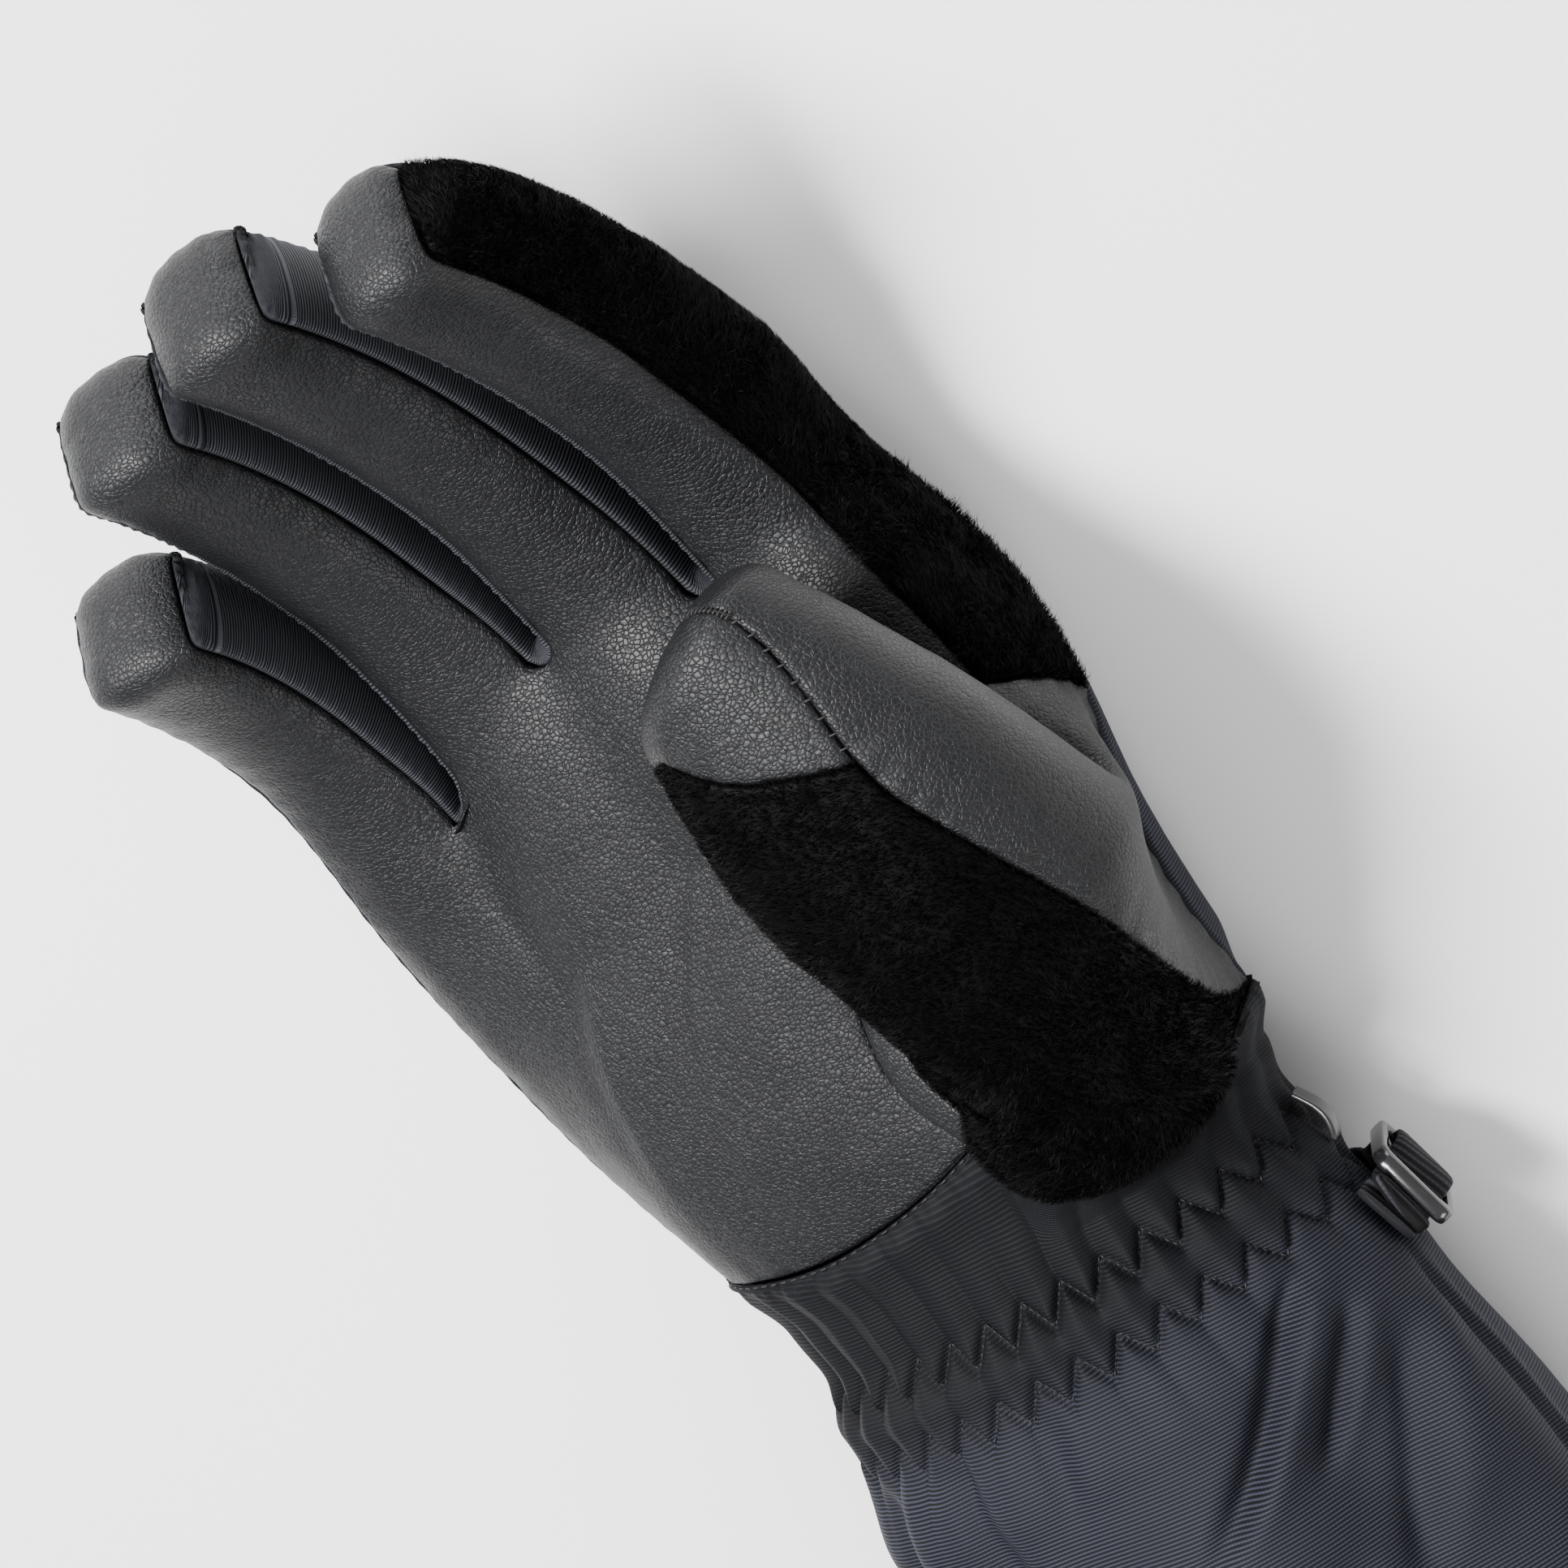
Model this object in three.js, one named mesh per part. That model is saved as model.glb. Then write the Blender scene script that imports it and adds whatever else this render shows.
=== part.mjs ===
// Waterproof winter glove for the right hand, lying on its back with the palm up.
// Millimetres. +Z is up, +Y runs to the fingertips, +X is the thumb side.
import * as THREE from "three";

// Overall sizes
const handLength = 111; // wrist seam to the finger forks
const handWidth = 108; // across the palm
const handThick = 46; // back to palm
const wristLength = 34; // wrist seam to the lower elastic
const cuffLength = 84; // lower elastic to the hem seam
const hemDepth = 10;
const hemRoll = 0.5; // how far the hem's edge draws in

// Walls and clearances
const leatherWall = 1.8;
const fabricWall = 1.4;
const cuffWall = 1.6;
const furWall = 2.0;
const pileHeight = 2.6; // how far the pile stands over its backing
const edgePile = 0.35; // share of it that stands at the seams
const seamGap = 0.36; // between neighbouring panels

// Fingers
const fingerWidth = 27;
const fingerThick = 25.5;
const fingertipLength = 9.5; // rounded end past the straight part
const webWidth = 5; // between two leather fronts at their fork
const frontShare = 0.8; // share of the finger's width that the leather front covers
const rootShare = 0.91; // the same at the forks, where the fronts run together
const crownDrop = 3.4; // how far a front's long edges fall below its crest
const sideBulge = 2.9; // how far a finger's side wall stands out
const furBulge = 9.5; // the same for the index finger's fur
const furRoot = 0.5; // share of it at the finger's root
const curlStart = 8; // degrees, at the forks
const curlEnd = 53; // degrees, at the tips

// Thumb
const thumbWidth = 48;
const thumbThick = 33;
const thumbTipLength = 8;

// Wrist, strap and buckle
const backFlat = 0.8; // how far the rings are pressed flat where they lie
const gatherDepth = 0.7;
const foldDepth = 3.2;
const strapWidth = 11;
const strapThick = 1.5;
const strapOffset = 12; // lower elastic to the strap's middle
const strapClear = 0.32; // between the strap and the buckle
const strapLow = -38; // degrees round the wrist from the thumb side, at the back end
const strapHigh = 9;
const buckleAngle = -12;
const buckleLength = 19;
const buckleWidth = 15;
const buckleThick = 3;
const buckleBar = 2.6;
const buckleCorner = 2.2;
const slotCorner = 0.6;
const loopFrom = 18; // wrist seam to the loop
const loopAngle = -2;
const loopLength = 9;
const loopRise = 1.6;
const loopThick = 1.3;
const loopWidth = 3;

// Mesh counts
const frontCells = 4;
const sideCells = 3;
const palmRows = 8;
const forkRow = 5; // palm row where the thumb opening ends
const fingerRows = 7;
const capRows = 3;
const wristThumbCells = 11;

// Fingers from the little one: root along the hand and above the floor, slant of the root line, and
// length, as shares of handLength and handThick, turn in plan in degrees, width share, and how much of
// the leather front is left on the thumb side
const fingers = [
  { root: 0.73, high: 0.47, slant: 0.025, turn: 3.5, length: 0.56, size: 1, thumbSide: 1 },
  { root: 0.835, high: 0.5, slant: 0.045, turn: -0.5, length: 0.71, size: 0.98, thumbSide: 1 },
  { root: 0.86, high: 0.51, slant: -0.025, turn: -2.5, length: 0.755, size: 1, thumbSide: 1 },
  { root: 0.82, high: 0.5, slant: 0, turn: -2.5, length: 0.73, size: 1, thumbSide: 0.76 },
];
const firstFork = 0.14; // fork of index and middle finger across the hand, share of handWidth

// Palm seam and edge points as shares of handWidth, handLength and handThick
const palmWrist = [
  [-0.555, -0.02, 0.62], [-0.47, -0.03, 0.86], [-0.29, -0.05, 1.0], [-0.1, -0.035, 1.06],
  [0.037, -0.004, 1.08],
];
const palmUlnar = [
  [-0.555, -0.02, 0.62], [-0.615, 0.2, 0.62], [-0.655, 0.42, 0.6], [-0.675, 0.6, 0.6],
];
const thumbSeam = [
  [0.037, -0.004, 1.08], [-0.01, 0.1, 1.06], [0.0, 0.22, 1.02], [0.08, 0.35, 0.97],
  [0.25, 0.46, 0.91], [0.44, 0.51, 0.86],
];
const indexEdge = [[0.42, 0.62, 0.84], [0.395, 0.73, 0.81]];
const backUlnar = [
  [-0.52, -0.05, 0.3], [-0.59, 0.2, 0.28], [-0.635, 0.42, 0.26], [-0.66, 0.6, 0.24],
];
const backWrist = [
  [-0.52, -0.05, 0.3], [-0.36, -0.07, 0.04], [-0.1, -0.08, -0.04], [0.2, -0.08, 0.0], [0.395, -0.065, 0.42],
];
const backRadial = [
  [0.395, -0.065, 0.42], [0.42, 0.08, 0.36], [0.44, 0.24, 0.34], [0.47, 0.4, 0.34],
];
const indexBackEdge = [[0.46, 0.55, 0.32], [0.43, 0.7, 0.28]];
const wristThumb = [
  [0.037, -0.004, 1.08], [0.085, -0.11, 1.09], [0.185, -0.15, 1.06], [0.29, -0.15, 1.01],
  [0.38, -0.125, 0.9], [0.4, -0.08, 0.7], [0.395, -0.065, 0.42],
];

// Thumb sections from its root to its tip: centre as shares of the hand, turn and rise of the axis,
// half sizes as shares of thumbWidth and thumbThick
const thumbSections = [
  { at: [0.35, 0.24, 1.24], turn: 8, rise: 26, roll: 26, wide: 0.53, thick: 0.5 },
  { at: [0.325, 0.4, 1.34], turn: 18, rise: 14, roll: 15, wide: 0.52, thick: 0.48 },
  { at: [0.285, 0.535, 1.375], turn: 25, rise: 5, roll: 7, wide: 0.52, thick: 0.45 },
  { at: [0.256, 0.66, 1.38], turn: 28, rise: 0, roll: 2, wide: 0.48, thick: 0.42 },
  { at: [0.245, 0.745, 1.38], turn: 28, rise: -2, roll: 0, wide: 0.375, thick: 0.38 },
];
const seamAngle = 72; // where the fur meets the leather on the side that shows
const tipSeamAngle = 42; // the same seam at the tip
const hiddenSeamAngle = -50;
const tipRow = 7; // first row of the tip patch
const tipSkew = 0.33; // how far that row leans along the thumb

// Wrist and cuff rings: distance below the wrist seam as a share of its part, half width, top and centre
const wristRings = [
  { down: 0.0, wide: 0.49, top: 1.12, centre: -0.065 },
  { down: 0.35, wide: 0.445, top: 1.1, centre: -0.075 },
  { down: 0.62, wide: 0.43, top: 1.1, centre: -0.08 },
  { down: 1.0, wide: 0.455, top: 1.17, centre: -0.085 },
];
const cuffRings = [
  { down: 0.0, wide: 0.455, top: 1.17, centre: -0.085 },
  { down: 0.25, wide: 0.5, top: 1.3, centre: -0.09 },
  { down: 0.6, wide: 0.545, top: 1.46, centre: -0.1 },
  { down: 1.0, wide: 0.58, top: 1.58, centre: -0.11 },
];
const wristRows = [0.12, 0.3, 0.45, 0.6, 0.75, 0.9, 1.0];
const cuffRows = [0.1, 0.25, 0.42, 0.6, 0.8, 1.0];

// Long soft folds of the cuff: angle in degrees, width in degrees, height share, start share
const folds = [
  { angle: 20, width: 12, height: 1.0, from: 0.0 },
  { angle: 47, width: 10, height: -0.9, from: 0.1 },
  { angle: 72, width: 13, height: 0.8, from: 0.05 },
  { angle: 100, width: 12, height: -0.6, from: 0.2 },
  { angle: 128, width: 14, height: 0.7, from: 0.1 },
  { angle: 160, width: 14, height: -0.5, from: 0.2 },
];

// Vector helpers
const add = (a, b) => [a[0] + b[0], a[1] + b[1], a[2] + b[2]];
const sub = (a, b) => [a[0] - b[0], a[1] - b[1], a[2] - b[2]];
const mul = (a, k) => [a[0] * k, a[1] * k, a[2] * k];
const dot = (a, b) => a[0] * b[0] + a[1] * b[1] + a[2] * b[2];
const cross = ([a, b, c], [x, y, z]) => [b * z - c * y, c * x - a * z, a * y - b * x];
const unit = (a) => mul(a, 1 / (Math.hypot(...a) || 1));
const mix = (a, b, t) => add(mul(a, 1 - t), mul(b, t));
const along = (p, ...steps) => steps.reduce((sum, [direction, k]) => add(sum, mul(direction, k)), p);
const lerp = (a, b, t) => a + (b - a) * t;
const clamp = (x, low, high) => Math.min(high, Math.max(low, x));
const smooth = (x) => clamp(x, 0, 1) ** 2 * (3 - 2 * clamp(x, 0, 1));
const rad = (degrees) => (degrees * Math.PI) / 180;
const handPoint = (share) => [share[0] * handWidth, share[1] * handLength, share[2] * handThick];
const range = (n) => Array.from({ length: n }, (_, i) => i);
const signedPower = (x, p) => Math.sign(x) * Math.abs(x) ** p;

// A smooth curve through a list of points, as a function of its length share
function curve(points) {
  const places = points.map((p) => new THREE.Vector3(...p));
  const spline = new THREE.CatmullRomCurve3(places, false, "centripetal");
  return (t) => spline.getPointAt(clamp(t, 0, 1)).toArray();
}

// A row of a numeric table, blended smoothly between its entries
function blended(table, key, value, read) {
  let i = 0;
  while (i < table.length - 2 && table[i + 1][key] < value) i += 1;
  const span = table[i + 1][key] - table[i][key];
  return lerp(read(table[i]), read(table[i + 1]), smooth((value - table[i][key]) / span));
}

// Finger roots across the hand, side by side from the fork of index and middle finger
const rootWidth = (finger) => fingerWidth * finger.size * rootShare;
fingers.forEach((finger, k) => {
  const between = fingers.slice(k + 1, 3).reduce((sum, next) => sum + rootWidth(next) + webWidth, 0);
  const half = (webWidth + rootWidth(finger)) / 2;
  finger.across = firstFork * handWidth + (k === 3 ? half : -between - half);
});

// The finger's middle line and its three directions at a share of its length
function fingerFrame(finger, t) {
  const length = finger.length * handLength;
  const a0 = rad(curlStart);
  const bend = rad(curlEnd - curlStart);
  const a = a0 + bend * t;
  const plan = [Math.sin(rad(finger.turn)), Math.cos(rad(finger.turn)), 0];
  const forward = (length / bend) * (Math.sin(a) - Math.sin(a0));
  const rise = (length / bend) * (Math.cos(a0) - Math.cos(a));
  const root = [finger.across, finger.root * handLength, finger.high * handThick];
  return {
    centre: along(root, [plan, forward], [[0, 0, 1], rise]),
    ahead: add(mul(plan, Math.cos(a)), [0, 0, Math.sin(a)]),
    palmar: add(mul(plan, -Math.sin(a)), [0, 0, Math.cos(a)]),
    side: [plan[1], -plan[0], 0],
  };
}

// A point of the finger's outline in its middle plane, on the front (face 1) or the back (face -1)
function fingerOutline(finger, row, face) {
  const t = Math.min(row / fingerRows, 1);
  const frame = fingerFrame(finger, t);
  const half = (fingerThick / 2) * finger.size * lerp(1.06, 0.9, t);
  const turn = Math.max(0, row - fingerRows) / capRows;
  const tipSeam = rad(130);
  const angle = face > 0 ? tipSeam * turn : Math.PI - (Math.PI - tipSeam) * turn;
  const up = signedPower(Math.cos(angle), 0.62);
  const out = signedPower(Math.sin(angle), 0.62);
  const place = along(frame.centre, [frame.palmar, half * up], [frame.ahead, fingertipLength * out]);
  const normal = unit(along([0, 0, 0], [frame.palmar, Math.cos(angle)], [frame.ahead, Math.sin(angle)]));
  return { place, normal, side: frame.side, ahead: frame.ahead, t: t + turn };
}

// A point across the front or the back strip, q from -1 at the little-finger side to 1 at the thumb side
function fingerStrip(finger, row, face, q) {
  const o = fingerOutline(finger, row, face);
  const fade = 1 - smooth(row / 3);
  const share = lerp(frontShare * lerp(1, 0.96, Math.min(o.t, 1)), rootShare, fade);
  const thumbSide = face > 0 ? finger.thumbSide : lerp(finger.thumbSide, 1, 0.6 * clamp(2 - o.t, 0, 1));
  const edge = (fingerWidth / 2) * finger.size * share * (q > 0 ? thumbSide : 1);
  const drop = crownDrop * Math.abs(q) ** 2.6;
  return along(o.place, [o.side, edge * q], [o.normal, -drop], [o.ahead, finger.slant * handLength * q * fade]);
}

// A point of the side wall, k from 0 at the front to 1 at the back; side is -1 or 1
function fingerWall(finger, row, side, k, bulge, rootBulge) {
  const front = fingerStrip(finger, row, 1, side);
  const back = fingerStrip(finger, row, -1, side);
  const t = row / (fingerRows + capRows);
  const grow = lerp(rootBulge, 1, smooth(row / 2.5)) * (1 - smooth((t - 0.62) / 0.38));
  const out = fingerFrame(finger, 0).side;
  return along(mix(front, back, k), [out, side * bulge * grow * 4 * k * (1 - k)]);
}

// One shared skin: panels are sets of its faces, so that seams meet edge to edge
const skin = { points: [], index: new Map(), faces: [] };
function vertex(p) {
  const key = p.map((x) => Math.round(x * 1000)).join(",");
  if (!skin.index.has(key)) {
    skin.index.set(key, skin.points.length);
    skin.points.push(p);
  }
  return skin.index.get(key);
}
function addGrid(panel, rows, flip) {
  for (let i = 0; i + 1 < rows.length; i += 1) {
    for (let j = 0; j + 1 < rows[i].length; j += 1) {
      const corners = [rows[i][j], rows[i][j + 1], rows[i + 1][j + 1], rows[i + 1][j]].map(vertex);
      const loop = corners.filter((v, n) => v !== corners[(n + 1) % 4]);
      const name = typeof panel === "function" ? panel(i, j) : panel;
      if (loop.length > 2) skin.faces.push({ name, loop: flip ? loop.reverse() : loop });
    }
  }
}

// The palm's four edges and the back's, as points
const columnCount = fingers.length * (frontCells + 1);
const cell = (j) => ({
  finger: fingers[Math.floor(j / (frontCells + 1))],
  q: (2 * (j % (frontCells + 1))) / frontCells - 1,
});
const rootRow = (face) => range(columnCount).map((j) =>
  fingerStrip(cell(j).finger, 0, face, cell(j).q));
const spread = (points, cells) => {
  const at = curve(points);
  return range(cells + 1).map((i) => at(i / cells));
};
function sideEdge(lower, upper, last) {
  const low = spread(lower.map(handPoint), forkRow);
  const high = spread([low[forkRow], ...upper.map(handPoint), last], palmRows - forkRow);
  return [...low, ...high.slice(1)];
}

// A patch stretched between four edges, with its fork scallops fading towards the wrist
function stretched(bottom, top, left, right, lift) {
  const nu = bottom.length - 1;
  const nv = left.length - 1;
  return range(nv + 1).map((i) => {
    const v = i / nv;
    return range(nu + 1).map((j) => {
      const u = j / nu;
      const ruled = add(mix(bottom[j], top[j], v), mix(left[i], right[i], u));
      const corners = mix(mix(bottom[0], bottom[nu], u), mix(top[0], top[nu], u), v);
      const p = sub(ruled, corners);
      const inner = i > 0 && i < nv && j > 0 && j < nu;
      return inner ? lift(p, u, v, j) : p;
    });
  });
}

const frontRoots = rootRow(1);
const backRoots = rootRow(-1);
const palmBottom = spread(palmWrist.map(handPoint), columnCount - 1);
const palmLeft = spread([...palmUlnar.map(handPoint), frontRoots[0]], palmRows);
const palmRight = sideEdge(thumbSeam, indexEdge, frontRoots[columnCount - 1]);
const backBottom = spread(backWrist.map(handPoint), columnCount - 1)
  .map(([x, y, z]) => [x, y, Math.max(0, z)]);
const backLeft = spread([...backUlnar.map(handPoint), backRoots[0]], palmRows);
const backRight = sideEdge(backRadial, indexBackEdge, backRoots[columnCount - 1]);

const scallop = (roots, face, j) => roots[j][2] - fingerOutline(cell(j).finger, 0, face).place[2];
const palmBody = stretched(palmBottom, frontRoots, palmLeft, palmRight, (p, u, v, j) => {
  const fade = (v - v ** 4) * scallop(frontRoots, 1, j);
  const mound = 0.1 * handThick * Math.sin(Math.PI * u) * Math.sin(Math.PI * v);
  const hollow = 0.07 * handThick * Math.exp(-(((u - 0.5) / 0.2) ** 2) - ((v - 0.45) / 0.25) ** 2);
  return add(p, [0, 0, mound - hollow - fade]);
});
const backBody = stretched(backBottom, backRoots, backLeft, backRight, (p, u, v, j) => {
  const fade = (v - v ** 3) * scallop(backRoots, -1, j);
  const fall = 0.42 * handThick * (1 - Math.abs(2 * u - 1) ** 3) * (1 - v ** 2);
  return [p[0], p[1], Math.max(0, p[2] - fade - fall)];
});

// Comb of palm or back: body rows, then each finger's strip
function addComb(panel, body, face) {
  addGrid(panel, body, face < 0);
  fingers.forEach((finger) => {
    const rows = range(fingerRows + capRows + 1).map((row) =>
      range(frontCells + 1).map((n) => fingerStrip(finger, row, face, (2 * n) / frontCells - 1)));
    addGrid(panel, rows, face < 0);
  });
}
addComb("palm_leather", palmBody, 1);
addComb("back_fabric", backBody, -1);

// Side walls of the fingers, one strip around each fork
const wallRows = (finger, side, bulge, rootBulge) => range(fingerRows + capRows + 1).map((row) =>
  range(sideCells + 1).map((n) => fingerWall(finger, row, side, n / sideCells, bulge, rootBulge)));
const forkNames = ["fork_ring_little", "fork_middle_ring", "fork_index_middle"];
forkNames.forEach((name, k) => {
  const near = wallRows(fingers[k], 1, sideBulge, 0);
  const far = wallRows(fingers[k + 1], -1, sideBulge, 0);
  addGrid(name, [...near].reverse(), true);
  addGrid(name, [near[0], far[0]], true);
  addGrid(name, far, true);
});

// Walls of the hand's two long edges
function edgeWall(front, back, out, bulge) {
  return front.map((p, i) => range(sideCells + 1).map((n) => {
    const k = n / sideCells;
    return add(mix(p, back[i], k), mul(out, bulge * 4 * k * (1 - k)));
  }));
}
const ulnarWall = edgeWall(palmLeft, backLeft, [-1, 0, 0], sideBulge);
const radialWall = edgeWall(palmRight.slice(forkRow), backRight.slice(forkRow), [1, 0, 0], sideBulge);
const littleWall = wallRows(fingers[0], -1, sideBulge, 1);
const indexWall = wallRows(fingers[3], 1, furBulge, furRoot);
ulnarWall[palmRows] = littleWall[0];
radialWall[palmRows - forkRow] = indexWall[0];
addGrid("ulnar_side", ulnarWall, true);
addGrid("ulnar_side", littleWall, true);
addGrid("index_fur", radialWall, false);
addGrid("index_fur", indexWall, false);

// Thumb: its root loop, then sections that swing across the palm
const wristThumbPoints = spread(wristThumb.map(handPoint), wristThumbCells);
const rootLoop = [
  ...radialWall[0], // fork end of the fur, palm side to back
  ...backRight.slice(0, forkRow).reverse(), // down the back's edge to the wrist
  ...wristThumbPoints.slice(0, -1).reverse(), // round the wrist seam
  ...palmRight.slice(1, forkRow), // up the palm seam
];
const leatherCells = sideCells + forkRow;
const loopCells = rootLoop.length;

function sectionAt(s) {
  const last = thumbSections.length - 1;
  const i = Math.min(Math.floor(s * last), last - 1);
  const f = s * last - i;
  const [a, b] = [thumbSections[i], thumbSections[i + 1]];
  const centre = curve(thumbSections.map((part) => handPoint(part.at)));
  const read = (key) => lerp(a[key], b[key], f);
  const [turn, rise, roll] = [rad(read("turn")), rad(read("rise")), rad(read("roll"))];
  const ahead = [-Math.sin(turn) * Math.cos(rise), Math.cos(turn) * Math.cos(rise), Math.sin(rise)];
  const level = [Math.cos(turn), Math.sin(turn), 0];
  const across = along(mul(level, Math.cos(roll)), [cross(level, ahead), -Math.sin(roll)]);
  return {
    centre: centre(s),
    ahead,
    across,
    top: cross(across, ahead),
    wide: read("wide") * thumbWidth,
    thick: read("thick") * thumbThick,
  };
}
function ringAngle(s, j) {
  const seam = lerp(seamAngle, tipSeamAngle, smooth((s - 0.4) / 0.6));
  const span = seam - hiddenSeamAngle;
  if (j <= leatherCells) return hiddenSeamAngle + (span * j) / leatherCells;
  return seam + ((360 - span) * (j - leatherCells)) / (loopCells - leatherCells);
}
function ringPoint(s, j) {
  const angle = rad(ringAngle(s, j));
  const part = sectionAt(clamp(s, 0, 1));
  const turnIn = clamp(s - 1, 0, 1);
  const close = Math.cos((turnIn * Math.PI) / 2) ** 0.7;
  const ahead = thumbTipLength * Math.sin((turnIn * Math.PI) / 2);
  const c = signedPower(Math.cos(angle), 0.9) * part.wide * close;
  const n = signedPower(Math.sin(angle), 0.9) * part.thick * close;
  return along(part.centre, [part.across, c], [part.top, n], [part.ahead, ahead]);
}
const rootCentre = mul(rootLoop.reduce(add), 1 / loopCells);
function rootPoint(j, t) {
  const start = rootLoop[j];
  const end = ringPoint(0, j);
  const out = unit(sub([start[0], start[1], 0], [rootCentre[0], rootCentre[1], 0]));
  const lean = 0.05 - 0.3 * Math.exp(-(((j - loopCells + forkRow - 2) / 1.6) ** 2));
  const leave = mul(unit(along([0, 0, 0.9], [out, lean])), 0.9 * Math.hypot(...sub(end, start)));
  const arrive = mul(sectionAt(0).ahead, 0.7 * Math.hypot(...sub(end, start)));
  const [t2, t3] = [t * t, t * t * t];
  const settled = mul(start, 2 * t3 - 3 * t2 + 1);
  return along(settled, [leave, t3 - 2 * t2 + t], [end, 3 * t2 - 2 * t3], [arrive, t3 - t2]);
}
const thumbRows = [
  ...[0, 0.16, 0.45, 0.75].map((t) => ({ root: t })),
  ...[0, 0.27, 0.55, 0.8, 1.0, 1.2, 1.45, 1.72, 1.97].map((s) => ({ s })),
];
const thumbGrid = thumbRows.map((row) => range(loopCells + 1).map((m) => {
  const j = m % loopCells;
  if (row.root !== undefined) return row.root === 0 ? rootLoop[j] : rootPoint(j, row.root);
  const lean = -tipSkew * Math.sin((Math.PI * row.s) / 2) * Math.cos(rad(ringAngle(row.s, j) - 10));
  return ringPoint(row.s + lean, j);
}));
const gussetStart = loopCells - forkRow;
function thumbPanel(i, j) {
  if (j < leatherCells) return "thumb_leather";
  if (i === 0 && j >= gussetStart && j < gussetStart + 3) return "thumb_gusset";
  return i < tipRow ? "thumb_fur" : "thumb_tip";
}
addGrid(thumbPanel, thumbGrid, true);
const pole = ringPoint(2, 0);
range(loopCells).forEach((j) => {
  const last = thumbGrid[thumbGrid.length - 1];
  const loop = [vertex(last[j]), vertex(last[j + 1]), vertex(pole)];
  skin.faces.push({ name: thumbPanel(99, j), loop: loop.reverse() });
});

// Wrist and cuff: rings that carry on from the wrist seam
const seamDip = 0.06 * handLength;
const wristTop = -seamDip;
const wristSpan = wristLength - seamDip;
const seamLoop = [
  ...palmBottom.slice(0, -1),
  ...wristThumbPoints.slice(0, -1),
  ...[...backBottom].reverse().slice(0, -1),
  ...[...ulnarWall[0]].reverse().slice(0, -1),
];
const ringRead = (rings, share, key) => blended(rings, "down", share, (ring) => ring[key]);
function ringPlace(rings, share, start) {
  const centre = ringRead(rings, share, "centre") * handWidth;
  const wide = ringRead(rings, share, "wide") * handWidth;
  const top = ringRead(rings, share, "top") * handThick;
  const seamHigh = (wristRings[0].top * handThick) / 2;
  const fromAxis = start[0] - wristRings[0].centre * handWidth;
  const angle = Math.atan2(start[2] / seamHigh - 1, fromAxis / (wristRings[0].wide * handWidth));
  return { angle, centre, wide, high: top / 2 + backFlat, middle: top / 2 - backFlat };
}
function foldAt(angle, share) {
  const degrees = (angle * 180) / Math.PI;
  return folds.reduce((sum, fold) => {
    const off = (degrees - fold.angle - 6 * (share - 0.5)) / fold.width;
    return sum + foldDepth * fold.height * Math.exp(-off * off) * smooth((share - fold.from) / 0.5);
  }, 0);
}
function ringRow(rings, share, downMm, extra) {
  return range(seamLoop.length + 1).map((m) => {
    const start = seamLoop[m % seamLoop.length];
    const ring = ringPlace(rings, share, start);
    const out = extra(ring.angle, m % seamLoop.length);
    const level = downMm > wristLength * 0.4 ? 0 : 1 - downMm / (wristLength * 0.4);
    const x = ring.centre + (ring.wide + out) * Math.cos(ring.angle);
    const z = ring.middle + (ring.high + out) * Math.sin(ring.angle);
    return [x, lerp(wristTop, start[1], level) - downMm, Math.max(0, z)];
  });
}
const wristGrid = [
  [...seamLoop, seamLoop[0]],
  ...wristRows.map((share) => ringRow(wristRings, share, share * wristSpan, (angle, m) =>
    gatherDepth * (m % 2 ? 1 : -1) * smooth(share / 0.3))),
];
const cuffGrid = [
  wristGrid[wristGrid.length - 1],
  ...cuffRows.map((share) => ringRow(cuffRings, share, wristSpan + share * cuffLength, (angle, m) =>
    foldAt(angle, share) + gatherDepth * (m % 2 ? 1 : -1) * (1 - smooth(share / 0.3)))),
];
const hemStart = wristSpan + cuffLength;
const hemGrid = [
  cuffGrid[cuffGrid.length - 1],
  ringRow(cuffRings, 1, hemStart + hemDepth / 2, (angle) => foldAt(angle, 1)),
  ringRow(cuffRings, 1, hemStart + hemDepth, (angle) => foldAt(angle, 1) - hemRoll),
];
addGrid("wrist_band", wristGrid, true);
addGrid("cuff", cuffGrid, true);
addGrid("cuff_hem", hemGrid, true);

// Outward normal of the skin at each of its points
const normals = skin.points.map(() => [0, 0, 0]);
skin.faces.forEach(({ loop }) => loop.forEach((v, n) => {
  const here = skin.points[v];
  const next = unit(sub(skin.points[loop[(n + 1) % loop.length]], here));
  const last = unit(sub(skin.points[loop[(n + loop.length - 1) % loop.length]], here));
  const angle = Math.acos(clamp(dot(next, last), -1, 1));
  normals[v] = along(normals[v], [unit(cross(next, last)), angle]);
}));
const outward = normals.map(unit);

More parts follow.
